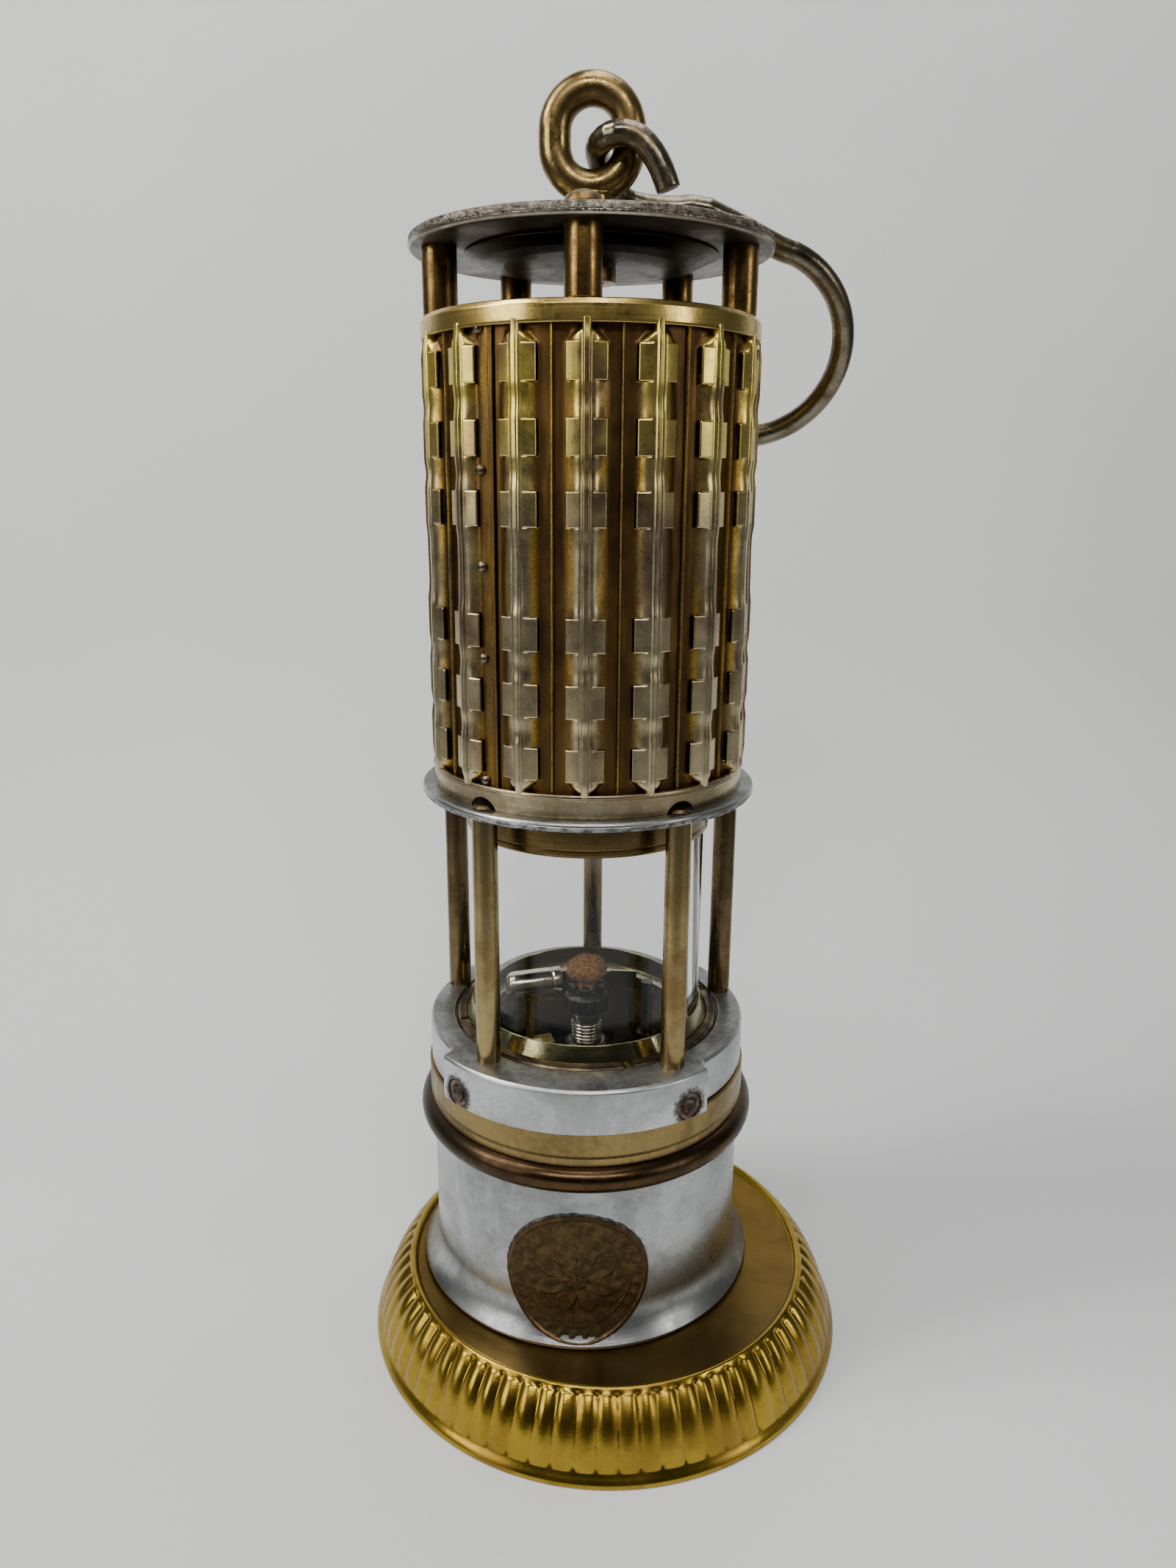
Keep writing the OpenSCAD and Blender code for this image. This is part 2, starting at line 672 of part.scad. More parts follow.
// the hook's way: up from its cut end, through the eye, back over the plate and round the bow
hook_in = [1.1, 0, eye_low - 0.8];
curl = [
    [16, -7.5, -9.8], [14.5, -7.7, -6.0], [12.3, -7.6, -2.4], [9.5, -7.2, 0.4], [6.3, -6.9, 1.6],
    [3.1, -6.0, 1.4], [0.8, -3.2, 0.7], [0, 0, 0], [0.2, 3.2, -0.9], [1.3, 6.2, -3.2],
    [3.7, 8.4, -6.4], [7.5, 9.8, -8.6], [12.9, 10.8, -9.4], [18.9, 11.3, -9.5], [25.5, 11.6, -9.8]
];
bow_mid = [37.1, 23.8, -38.2];
bow_tilt = 25;
bow_from = 76;
bow_to = -118;
function bow_point(a) = bow_mid + bow_r * [
    cos(a), -sin(a) * sin(bow_tilt), sin(a) * cos(bow_tilt)
];
bow = [for (i = [0 : 22]) bow_point(bow_from + (bow_to - bow_from) * i / 22)];
way = concat(curl, bow);
last = len(way) - 1;
function pick(i) = way[max(0, min(last, i))];
function spline(i, u) = let (a = pick(i - 1), b = pick(i), c = pick(i + 1), d = pick(i + 2))
    0.5 * (2 * b + (c - a) * u + (2 * a - 5 * b + 4 * c - d) * u * u
        + (3 * b - a - 3 * c + d) * u * u * u);
line = concat([for (i = [0 : last - 1]) for (u = [0, 0.5]) spline(i, u)], [way[last]]);
function unit(v) = v / norm(v);
function heading(i) = unit(line[min(len(line) - 1, i + 1)] - line[max(0, i - 1)]);
function square_to(v, t) = unit(v - (v * t) * t);
function sides(i, v) = i == len(line) ? [] :
    let (s = square_to(v, heading(i))) concat([s], sides(i + 1, s));
module hook() {
    m = 16;
    s = sides(0, [0, 1, 0]);
    pts = [for (i = [0 : len(line) - 1]) for (j = [0 : m - 1])
        let (t = heading(i), n = cross(t, s[i]), a = -j * 360 / m)
            hook_in + line[i] + hook_wire * (cos(a) * s[i] + sin(a) * n)];
    color([0.56, 0.52, 0.40]) tube_mesh(pts, len(line), m);
}

foot_stand();
at_lamp() fount_shell();
at_lamp() fount_base();
at_lamp() fount_bead();
at_lamp() fount_collar();
at_lamp() fount_deck();
at_lamp() medallion();
at_lamp() filler_plug();
at_lamp() filler_washer();
at_lamp() wick_tube();
at_lamp() burner_base();
at_lamp() burner_sleeve();
at_lamp() burner_cap();
at_lamp() wick();
at_lamp() wick_carrier();
at_lamp() wick_screw();
at_lamp() wick_knob();
at_lamp() relighter_tube();
at_lamp() relighter_shaft();
at_lamp() relighter_knob();
at_lamp() flint_wheel();
at_lamp() flint_barrel();
at_lamp() flint();
at_lamp() barrel_bracket();
at_lamp() burner_bracket();
at_lamp() deck_post();
at_lamp() deck_nut();
at_lamp() seal_washer();
at_lamp() lower_ring();
at_lamp() pad_screws();
at_lamp() lock_bolt();
at_lamp() lock_spring();
at_lamp() lower_pillar(0);  // lower_pillar_1
at_lamp() lower_pillar(1);  // lower_pillar_2
at_lamp() lower_pillar(2);  // lower_pillar_3
at_lamp() lower_pillar(3);  // lower_pillar_4
at_lamp() lower_pillar(4);  // lower_pillar_5
at_lamp() glass();
at_lamp() glass_seat_lower();
at_lamp() glass_seat_upper();
at_lamp() glass_ring_lower();
at_lamp() glass_ring_upper();
at_lamp() glass_clamp_ring();
at_lamp() gallery_plate();
at_lamp() gauze_ring();
at_lamp() inner_gauze();
at_lamp() outer_gauze();
at_lamp() bonnet();
at_lamp() bonnet_rivets();
at_lamp() bonnet_base_band();
at_lamp() bonnet_top_band();
at_lamp() bonnet_lid();
at_lamp() upper_pillars();
at_lamp() crown_plate();
at_lamp() crown_rivets();
at_lamp() heat_shield();
at_lamp() eye();
at_lamp() eye_nut();
at_lamp() hook();
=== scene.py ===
import json
import random
from math import acos, atan2, ceil, cos, exp, hypot, pi, radians, sin, sqrt, tan

import bmesh
import bpy
import numpy as np
from mathutils import Matrix, Vector, noise


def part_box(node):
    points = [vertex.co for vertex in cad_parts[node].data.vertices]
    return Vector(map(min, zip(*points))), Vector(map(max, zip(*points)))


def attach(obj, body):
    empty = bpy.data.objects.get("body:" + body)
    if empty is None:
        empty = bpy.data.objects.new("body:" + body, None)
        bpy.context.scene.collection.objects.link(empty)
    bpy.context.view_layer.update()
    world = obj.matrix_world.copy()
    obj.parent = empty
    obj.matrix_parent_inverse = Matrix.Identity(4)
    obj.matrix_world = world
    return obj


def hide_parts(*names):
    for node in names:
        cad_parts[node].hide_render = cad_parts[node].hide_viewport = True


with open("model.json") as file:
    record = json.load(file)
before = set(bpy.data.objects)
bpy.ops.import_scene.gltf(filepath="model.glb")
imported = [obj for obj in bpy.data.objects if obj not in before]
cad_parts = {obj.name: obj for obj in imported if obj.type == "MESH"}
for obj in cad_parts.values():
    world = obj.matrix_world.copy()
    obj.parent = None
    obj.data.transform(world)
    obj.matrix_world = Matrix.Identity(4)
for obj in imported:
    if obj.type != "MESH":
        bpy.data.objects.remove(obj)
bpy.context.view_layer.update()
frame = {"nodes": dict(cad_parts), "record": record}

# ---- places, all read from the frame ----

MM = 0.001


def low(node):
    """The lowest corner of a CAD node, in millimetres."""
    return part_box(node)[0] / MM


def high(node):
    """The highest corner of a CAD node, in millimetres."""
    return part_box(node)[1] / MM


def middle(node):
    return (low(node) + high(node)) / 2


def radius(node):
    return (high(node).x - low(node).x) / 2


AXIS = middle("glass")
AXIS.z = 0
STAND = middle("foot_stand")
STAND.z = 0
RIDGE_R = radius("foot_stand") - 10.7
PAD_R = AXIS.y - low("lower_ring").y
PAD_HALF = radians(46.2)
PAD_TURN = radians(-2.6)
PAD_SCREWS = [PAD_TURN - radians(39), PAD_TURN + radians(39)]
PAD_RIVETS = [Vector((PAD_R * sin(a), -PAD_R * cos(a), middle("pad_screws").z)) for a in PAD_SCREWS]

# ---- camera ----

# the lens and the eye's place from the lamp's axis in millimetres, and its tilt in degrees, as solved from
# the lamp's circles in the photograph
FOCAL = 25.43
EYE_BACK = 274.83
EYE_SIDE = 12.96
EYE_HIGH = 227.98
PITCH = 15.35
ROLL = 0.38


def add_object(name, data):
    obj = bpy.data.objects.new(name, data)
    bpy.context.scene.collection.objects.link(obj)
    return obj


def make_camera():
    data = bpy.data.cameras.new("camera")
    data.lens = FOCAL
    data.sensor_width = 36
    data.sensor_fit = "AUTO"
    data.clip_start = 0.01
    cam = add_object("camera", data)
    heading = atan2(EYE_SIDE, EYE_BACK)
    turn = Matrix.Rotation(heading, 4, "Z")
    tilt = Matrix.Rotation(radians(90 - PITCH), 4, "X")
    roll = Matrix.Rotation(radians(ROLL), 4, "Z")
    place = Matrix.Translation((AXIS + Vector((EYE_SIDE, -EYE_BACK, EYE_HIGH))) * MM)
    cam.matrix_world = place @ turn @ tilt @ roll
    bpy.context.scene.camera = cam


make_camera()

# ---- mesh helpers, in millimetres about the lamp's axis ----

SEGMENTS = 192


def make(name, verts, faces, body, slot, stands_for=(), look=None, centre=AXIS, sharp=32):
    """A mesh piece from millimetre points about an axis, riding on a body."""
    mesh = bpy.data.meshes.new(name)
    mesh.from_pydata([(Vector(v) + centre) * MM for v in verts], [], faces)
    mesh.validate()
    mesh.update()
    fix = bmesh.new()
    fix.from_mesh(mesh)
    bmesh.ops.recalc_face_normals(fix, faces=fix.faces)
    fix.to_mesh(mesh)
    fix.free()
    obj = add_object(name, mesh)
    finish_piece(obj, body, slot, stands_for, look, sharp)
    return obj


def shade(obj, sharp=32):
    """Smooth faces, with edges over an angle kept sharp."""
    for polygon in obj.data.polygons:
        polygon.use_smooth = True
    obj.data.set_sharp_from_angle(angle=radians(sharp))


def finish_piece(obj, body, slot, stands_for=(), look=None, sharp=32):
    """Puts a piece on its body; its material is its slot's own unless look names another."""
    shade(obj, sharp)
    obj.data.materials.clear()
    obj.data.materials.append(M[look or slot])
    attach(obj, body)
    if stands_for:
        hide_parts(*stands_for)


def rounded(profile, steps=4):
    """A closed outline of (r, z, fillet) points, with the fillets turned into arcs."""
    out = []
    count = len(profile)
    for i, point in enumerate(profile):
        r, z = point[:2]
        fillet = point[2] if len(point) > 2 else 0
        here = np.array((r, z), float)
        before = np.array(profile[i - 1][:2], float) - here
        after = np.array(profile[(i + 1) % count][:2], float) - here
        long_b, long_a = np.linalg.norm(before), np.linalg.norm(after)
        if fillet <= 0 or long_b < 1e-6 or long_a < 1e-6:
            out.append((r, z))
            continue
        ub, ua = before / long_b, after / long_a
        half = acos(max(-1, min(1, float(ub @ ua)))) / 2
        if half > radians(88):
            out.append((r, z))
            continue
        reach = min(fillet / tan(half), long_b * 0.49, long_a * 0.49)
        start, end = here + ub * reach, here + ua * reach
        for k in range(steps + 1):
            t = k / steps
            point = (1 - t) ** 2 * start + 2 * t * (1 - t) * here + t * t * end
            out.append((float(point[0]), float(point[1])))
    return out


def near(r, z, *steps):
    """Outline points (r, z, fillet) given as steps from one place."""
    return [(r + dr, z + dz, *fillet) for dr, dz, *fillet in steps]


def lathe_mesh(profile, segments=SEGMENTS, warp=None):
    """Points and faces of a solid turned from a closed outline; warp(r, angle, z) bends it."""
    verts, faces, rings = [], [], []
    for r, z in profile:
        ring = []
        if r < 1e-4:
            verts.append((0, 0, z))
            ring = [len(verts) - 1] * segments
        else:
            for k in range(segments):
                angle = 2 * pi * k / segments
                rr, zz = warp(r, angle, z) if warp else (r, z)
                verts.append((rr * sin(angle), -rr * cos(angle), zz))
                ring.append(len(verts) - 1)
        rings.append(ring)
    for i, ring in enumerate(rings):
        other = rings[(i + 1) % len(rings)]
        for k in range(segments):
            n = (k + 1) % segments
            face = []
            for v in (ring[k], ring[n], other[n], other[k]):
                if v not in face:
                    face.append(v)
            if len(face) > 2:
                faces.append(face)
    return verts, faces


def lathe(name, profile, body, slot, stands_for=(), look=None, segments=SEGMENTS, warp=None, steps=4,
          sharp=32):
    verts, faces = lathe_mesh(rounded(profile, steps), segments, warp)
    return make(name, verts, faces, body, slot, stands_for, look, sharp=sharp)


# ---- materials ----


class Nodes:
    """Short names for building one procedural material."""

    def __init__(self, name, centre=AXIS):
        self.material = bpy.data.materials.new(name)
        self.material.use_nodes = True
        self.tree = self.material.node_tree
        self.tree.nodes.clear()
        self.out = self.add("ShaderNodeOutputMaterial")
        self.shader = self.add("ShaderNodeBsdfPrincipled")
        self.link(self.shader.outputs[0], self.out.inputs[0])
        where = self.add("ShaderNodeTexCoord")
        shift = self.add("ShaderNodeVectorMath", operation="SUBTRACT")
        shift.inputs[1].default_value = centre * MM
        self.link(where.outputs["Object"], shift.inputs[0])
        self.place = shift.outputs[0]

    def add(self, kind, **settings):
        node = self.tree.nodes.new(kind)
        for key, value in settings.items():
            setattr(node, key, value)
        return node

    def link(self, a, b):
        self.tree.links.new(a, b)

    def put(self, socket, value):
        if isinstance(value, bpy.types.NodeSocket):
            self.link(value, socket)
        elif isinstance(value, (tuple, list)) and len(value) == 3 and socket.type == "RGBA":
            socket.default_value = (*value, 1)
        else:
            socket.default_value = value

    def math(self, operation, a, b=0.0, clamp=False):
        node = self.add("ShaderNodeMath", operation=operation, use_clamp=clamp)
        self.put(node.inputs[0], a)
        self.put(node.inputs[1], b)
        return node.outputs[0]

    def times(self, a, b):
        return self.math("MULTIPLY", a, b)

    def plus(self, a, b, clamp=False):
        return self.math("ADD", a, b, clamp)

    def less(self, a, b):
        return self.math("SUBTRACT", a, b)

    def rest(self, a):
        """What is left of 1."""
        return self.math("SUBTRACT", 1.0, a)

    def duller(self, roughness, where, by):
        return self.plus(roughness, self.times(where, by), clamp=True)

    def parts(self):
        node = self.add("ShaderNodeSeparateXYZ")
        self.link(self.place, node.inputs[0])
        return node.outputs

    def from_axis(self):
        """The distance from the lamp's axis, in metres."""
        x, y = self.parts()[:2]
        square = self.plus(self.times(x, x), self.times(y, y))
        return self.math("SQRT", square)

    def height(self):
        return self.parts()[2]

    def stretched(self, sx, sy, sz):
        node = self.add("ShaderNodeMapping")
        self.link(self.place, node.inputs[0])
        node.inputs["Scale"].default_value = (sx, sy, sz)
        return node.outputs[0]

    def turned(self, across, along, around=0.0):
        """Texture places that run in rings about the axis, as tool marks do."""
        x, y, z = self.parts()
        join = self.add("ShaderNodeCombineXYZ")
        self.link(self.times(self.from_axis(), across), join.inputs[0])
        self.link(self.times(z, along), join.inputs[1])
        angle = self.math("ARCTAN2", x, self.times(y, -1.0))
        self.link(self.times(angle, around), join.inputs[2])
        return join.outputs[0]

    def noise(self, scale, detail=4.0, rough=0.55, where=None, bend=0.0):
        node = self.add("ShaderNodeTexNoise")
        self.link(where or self.place, node.inputs["Vector"])
        for key, value in (("Scale", scale), ("Detail", detail), ("Roughness", rough), ("Distortion", bend)):
            node.inputs[key].default_value = value
        return node.outputs["Fac"]

    def greys(self, value, *stops):
        """A ramp of grey between two (place, brightness) stops."""
        node = self.add("ShaderNodeValToRGB")
        self.link(value, node.inputs[0])
        for element, (spot, grey) in zip(node.color_ramp.elements, stops):
            element.position = spot
            element.color = (grey, grey, grey, 1)
        return node.outputs[0]

    def mask(self, value, start, end):
        node = self.add("ShaderNodeMapRange", interpolation_type="SMOOTHSTEP")
        self.link(value, node.inputs["Value"])
        node.inputs["From Min"].default_value = start
        node.inputs["From Max"].default_value = end
        return node.outputs[0]

    def mix(self, how_much, a, b, blend="MIX"):
        node = self.add("ShaderNodeMix", data_type="RGBA", blend_type=blend)
        self.put(node.inputs[0], how_much)
        self.put(node.inputs[6], a)
        self.put(node.inputs[7], b)
        return node.outputs[2]

    def bump(self, height, distance, strength=1.0, under=None):
        node = self.add("ShaderNodeBump")
        self.link(height, node.inputs["Height"])
        node.inputs["Distance"].default_value = distance
        node.inputs["Strength"].default_value = strength
        if under is not None:
            self.link(under, node.inputs["Normal"])
        return node.outputs[0]

    def done(self, colour, rough, normal=None, metal=1.0):
        self.put(self.shader.inputs["Base Color"], colour)
        self.put(self.shader.inputs["Roughness"], rough)
        self.shader.inputs["Metallic"].default_value = metal
        if normal is not None:
            self.link(normal, self.shader.inputs["Normal"])
        return self.material


def metal(name, bright, dull, wear=0.5, soft=0.1, rough=(0.22, 0.42), scale=60, grain="turned",
          lines=0.35, pits=0.0, dent=0.00004, centre=AXIS, extra=()):
    """A worn metal: two tones in patches, tool marks, faint unevenness and dark pits.

    wear and soft place the edge between the tones, scale sets the patches, grain and lines the tool marks'
    run and depth; extra changes are made last, in their order.
    """
    n = Nodes(name, centre)
    cloud = n.noise(scale, 6, 0.6, bend=0.5)
    fine = n.noise(scale * 12, 4, 0.65)
    blend = n.plus(cloud, n.times(n.less(fine, 0.5), 0.3))
    patch = n.mask(blend, wear - soft, wear + soft)
    colour = n.mix(patch, bright, dull)
    where = {
        "turned": lambda: n.turned(2600, 2600, 1.2),
        "upright": lambda: n.turned(300, 60, 260),
        "along": lambda: n.stretched(2400, 2400, 60),
        "plain": lambda: n.stretched(900, 900, 900),
    }[grain]()
    marks = n.noise(1.0, 3, 0.6, where)
    streak = n.greys(marks, (0.3, 0.82), (0.62, 1.0))
    colour = n.mix(lines, colour, streak, "MULTIPLY")
    base = n.plus(n.times(patch, rough[1] - rough[0]), rough[0])
    change = n.times(n.less(marks, 0.5), 0.35 * lines)
    roughness = n.plus(base, change, clamp=True)
    if pits:
        spots = n.mask(n.noise(scale * 30, 3, 0.7), 0.60 + 0.1 * (1 - pits), 0.66 + 0.1 * (1 - pits))
        colour = n.mix(n.times(spots, 0.8), colour, (0.035, 0.026, 0.018))
        roughness = n.duller(roughness, spots, 0.3)
    normal = n.bump(cloud, dent * 12, 0.35)
    normal = n.bump(marks, dent, 0.5, normal)
    for change in extra:
        colour, roughness, normal = change(n, colour, roughness, normal)
    return n.done(colour, roughness, normal)


def dusty_top(n, colour, roughness, normal):
    """Grime on faces that look up: darker and duller the more the face is level."""
    facing = n.add("ShaderNodeNewGeometry")
    split = n.add("ShaderNodeSeparateXYZ")
    n.link(facing.outputs["Normal"], split.inputs[0])
    level = n.mask(split.outputs[2], 0.6, 0.95)
    worn = n.plus(n.times(n.mask(n.noise(90, 5, 0.6, bend=1.0), 0.35, 0.65), 0.4), 0.6)
    smear = n.times(level, worn)
    dark = n.mix(n.mask(n.noise(800, 4, 0.7), 0.35, 0.65), (0.095, 0.09, 0.08), (0.20, 0.195, 0.18))
    colour = n.mix(n.times(smear, 0.92), colour, dark)
    roughness = n.duller(roughness, smear, 0.10)
    return colour, roughness, normal


def shaded_inside(out, tone):
    """Painted shade: dull brown inside a radius from the middle of the material's own centre, in millimetres,
    as shade and dark reflection fall in a recessed seat.
    """
    def change(n, colour, roughness, normal):
        inner = n.rest(n.mask(n.from_axis(), (out - 0.5) * MM, out * MM))
        dark = n.mix(n.mask(n.noise(60, 5, 0.6, bend=0.8), 0.35, 0.65), tone, [c * 0.7 for c in tone])
        colour = n.mix(n.times(inner, 0.95), colour, dark)
        return colour, n.duller(roughness, inner, 0.1), normal
    return change


def scorched(spots, out):
    """Dark haloes about the given places, in millimetres."""
    def change(n, colour, roughness, normal):
        for spot in spots:
            away = n.add("ShaderNodeVectorMath", operation="DISTANCE")
            n.link(n.place, away.inputs[0])
            away.inputs[1].default_value = Vector(spot) * MM
            ragged = n.plus(away.outputs["Value"], n.times(n.less(n.noise(1100, 4, 0.75), 0.5), 0.0042))
            stain = n.rest(n.mask(ragged, (out - 0.9) * MM, (out + 0.9) * MM))
            colour = n.mix(n.times(stain, 0.93), colour, (0.055, 0.048, 0.042))
            roughness = n.duller(roughness, stain, 0.15)
        return colour, roughness, normal
    return change


def between(n, value, start, end, soft):
    rise = n.mask(value, start - soft, start)
    fall = n.rest(n.mask(value, end, end + soft))
    return n.times(rise, fall)


def pitted(start, end, from_r):
    """A rough filed band between two heights on the rim of a plate, in millimetres."""
    def change(n, colour, roughness, normal):
        band = between(n, n.height(), start * MM, end * MM, 0.0002)
        band = n.times(band, n.mask(n.from_axis(), (from_r - 0.5) * MM, from_r * MM))
        grit = n.noise(1.0, 4, 0.7, n.turned(700, 900, 20))
        pits = n.times(n.mask(grit, 0.45, 0.58), band)
        colour = n.mix(n.times(pits, 0.8), colour, (0.07, 0.062, 0.055))
        roughness = n.duller(roughness, band, 0.15)
        return colour, roughness, n.bump(n.times(grit, band), 0.0009, 0.9, normal)
    return change


def darker_above(height, tone):
    """Dark over a height, in millimetres, on rivet heads that sit under a band."""
    def change(n, colour, roughness, normal):
        over = n.mask(n.height(), height * MM, (height + 0.4) * MM)
        colour = n.mix(n.times(over, 0.95), colour, tone)
        return colour, n.duller(roughness, over, 0.15), normal
    return change


def darker_below(height, tone, soft=0.4):
    """Dark under a height, in millimetres, on the underside of a plate."""
    def change(n, colour, roughness, normal):
        under = n.rest(n.mask(n.height(), height * MM, (height + soft) * MM))
        dark = n.mix(n.mask(n.noise(120, 5, 0.6, bend=0.8), 0.3, 0.7), tone, [c * 2.2 for c in tone])
        colour = n.mix(n.times(under, 0.95), colour, dark)
        return colour, n.duller(roughness, under, 0.12), normal
    return change


# each metal's values, in the order metal() takes them
METALS = {
    "stand_brass": (
        (0.42, 0.28, 0.035), (0.29, 0.18, 0.028), 0.52, 0.16, (0.20, 0.30), 45, "turned", 0.15, 0.25, 3e-5),
    "fount_aluminium": (
        (0.46, 0.47, 0.48), (0.21, 0.214, 0.218), 0.53, 0.20, (0.24, 0.42), 34, "turned", 0.12, 0.1),
    "bead_brass": (
        (0.09, 0.054, 0.026), (0.042, 0.027, 0.016), 0.47, 0.14, (0.22, 0.38), 40, "turned", 0.3, 0.3),
    "collar_brass": (
        (0.29, 0.205, 0.082), (0.18, 0.122, 0.05), 0.5, 0.14, (0.26, 0.40), 45, "upright", 0.35, 0.15),
    "steel_dark": (
        (0.15, 0.14, 0.135), (0.05, 0.045, 0.04), 0.5, 0.15, (0.18, 0.4), 160, "plain", 0.3, 0.2),
    "barrel_nickel": (
        (0.72, 0.68, 0.54), (0.46, 0.42, 0.30), 0.55, 0.14, (0.14, 0.28), 110, "turned", 0.3, 0.2),
    "cap_black": (
        (0.045, 0.042, 0.04), (0.02, 0.019, 0.018), 0.5, 0.15, (0.25, 0.45), 260, "plain", 0.3, 0.3),
    "deck_black": (
        (0.05, 0.048, 0.045), (0.02, 0.019, 0.018), 0.5, 0.15, (0.10, 0.2), 90, "plain", 0.2, 0.1),
    "medal_bronze": (
        (0.105, 0.067, 0.029), (0.062, 0.042, 0.021), 0.5, 0.14, (0.34, 0.52), 420, "plain", 0.4, 0.3),
    "brass_plain": (
        (0.56, 0.40, 0.14), (0.30, 0.20, 0.07), 0.5, 0.15, (0.25, 0.42), 120, "plain", 0.3, 0.2),
    "nickel": (
        (0.60, 0.57, 0.49), (0.34, 0.29, 0.21), 0.55, 0.14, (0.16, 0.34), 110, "turned", 0.3, 0.2),
    "ring_aluminium": (
        (0.60, 0.61, 0.62), (0.40, 0.41, 0.415), 0.5, 0.16, (0.28, 0.42), 50, "upright", 0.25, 0.3),
    "pillar_brass": (
        (0.36, 0.275, 0.13), (0.23, 0.15, 0.06), 0.52, 0.14, (0.2, 0.34), 30, "along", 0.3, 0.3),
    # pillar_brass_shaded is a darker copy of pillar_brass for the rear pillars: painted shade
    "pillar_brass_shaded": (
        (0.17, 0.12, 0.06), (0.09, 0.058, 0.028), 0.52, 0.14, (0.2, 0.34), 30, "along", 0.3, 0.3),
    "ring_brass": (
        (0.38, 0.345, 0.185), (0.26, 0.235, 0.12), 0.55, 0.15, (0.14, 0.26), 60, "turned", 0.2, 0.15),
    "gauze_mesh": (
        (0.10, 0.085, 0.07), (0.03, 0.026, 0.022), 0.5, 0.1, (0.5, 0.7), 400, "plain", 0.6),
    "band_brass": (
        (0.66, 0.48, 0.14), (0.40, 0.27, 0.08), 0.52, 0.14, (0.22, 0.36), 55, "turned", 0.35, 0.25),
    "upper_brass": (
        (0.33, 0.20, 0.06), (0.13, 0.075, 0.03), 0.5, 0.13, (0.22, 0.4), 80, "along", 0.35, 0.3),
    "soot_steel": (
        (0.055, 0.042, 0.033), (0.022, 0.018, 0.016), 0.5, 0.14, (0.34, 0.5), 60, "turned", 0.4, 0.2),
    "eye_brass": (
        (0.37, 0.265, 0.09), (0.17, 0.11, 0.048), 0.5, 0.12, (0.2, 0.36), 130, "plain", 0.3, 0.25),
    "hook_nickel": (
        (0.22, 0.19, 0.14), (0.13, 0.095, 0.055), 0.5, 0.13, (0.2, 0.36), 100, "plain", 0.3, 0.25),
    "head_ring": (
        (0.20, 0.13, 0.05), (0.12, 0.08, 0.032), 0.5, 0.15, (0.16, 0.28), 50, "turned", 0.25, 0.2),
    "base_band": (
        (0.55, 0.47, 0.31), (0.34, 0.26, 0.15), 0.5, 0.15, (0.22, 0.36), 50, "turned", 0.3, 0.3),
    "grimy_brass": (
        (0.20, 0.15, 0.09), (0.07, 0.05, 0.035), 0.48, 0.14, (0.3, 0.5), 140, "turned", 0.4, 0.4),
    "rusty": (
        (0.20, 0.145, 0.12), (0.06, 0.042, 0.034), 0.5, 0.14, (0.3, 0.55), 300, "plain", 0.5, 0.4, 0.00015),
    "solder": (
        (0.13, 0.125, 0.115), (0.045, 0.042, 0.038), 0.5, 0.15, (0.4, 0.6), 500, "plain", 0.4, 0.4, 0.0001),
    "gallery": (
        (0.46, 0.47, 0.48), (0.30, 0.30, 0.295), 0.5, 0.15, (0.24, 0.38), 60, "turned", 0.2, 0.2),
    "crown_nickel": (
        (0.40, 0.36, 0.30), (0.22, 0.18, 0.14), 0.5, 0.14, (0.2, 0.38), 60, "turned", 0.25, 0.3),
    "flint_grey": (
        (0.2, 0.2, 0.21), (0.1, 0.1, 0.1), 0.5, 0.1, (0.5, 0.7), 300, "plain", 0.5),
}
PLATE_TOP = high("crown_rivets").z - 3
gallery_low, crown_low = low("gallery_plate").z, low("crown_plate").z
CHANGES = {
    # the stand's recessed seat is painted dull brown: painted shade and dark reflection
    "stand_brass": [shaded_inside(RIDGE_R - 0.9, (0.185, 0.112, 0.026))],
    "ring_aluminium": [dusty_top, scorched(PAD_RIVETS, 4.6)],
    "pillar_brass": [darker_above(gallery_low, (0.10, 0.07, 0.04))],
    # the rear pillars' darker copy of the brass is painted shade
    "pillar_brass_shaded": [darker_above(gallery_low, (0.08, 0.055, 0.03))],
    "gallery": [dusty_top, pitted(gallery_low + 0.1, gallery_low + 1.25, radius("gallery_plate") - 0.4)],
    "crown_nickel": [dusty_top, pitted(crown_low + 1.25, PLATE_TOP - 0.1, radius("crown_plate") - 0.4),
                     darker_below(crown_low + 0.06, (0.05, 0.038, 0.028), 0.3)],
}
M = {}
for slot, values in METALS.items():
    about = STAND if slot == "stand_brass" else AXIS
    M[slot] = metal(f"{slot}_mat", *values, centre=about, extra=CHANGES.get(slot, ()))


def fibre_material(name, light, dark, scale):
    n = Nodes(name)
    speck = n.noise(scale, 6, 0.7)
    colour = n.mix(n.mask(speck, 0.35, 0.65), light, dark)
    return n.done(colour, 0.9, n.bump(speck, 0.0002, 0.6), metal=0.0)


M["fibre"] = fibre_material("fibre_mat", (0.09, 0.06, 0.045), (0.04, 0.03, 0.025), 900)
M["gasket"] = fibre_material("gasket_mat", (0.62, 0.58, 0.48), (0.40, 0.36, 0.28), 700)
M["wick_cotton"] = fibre_material("wick_cotton_mat", (0.21, 0.095, 0.02), (0.03, 0.015, 0.006), 1100)


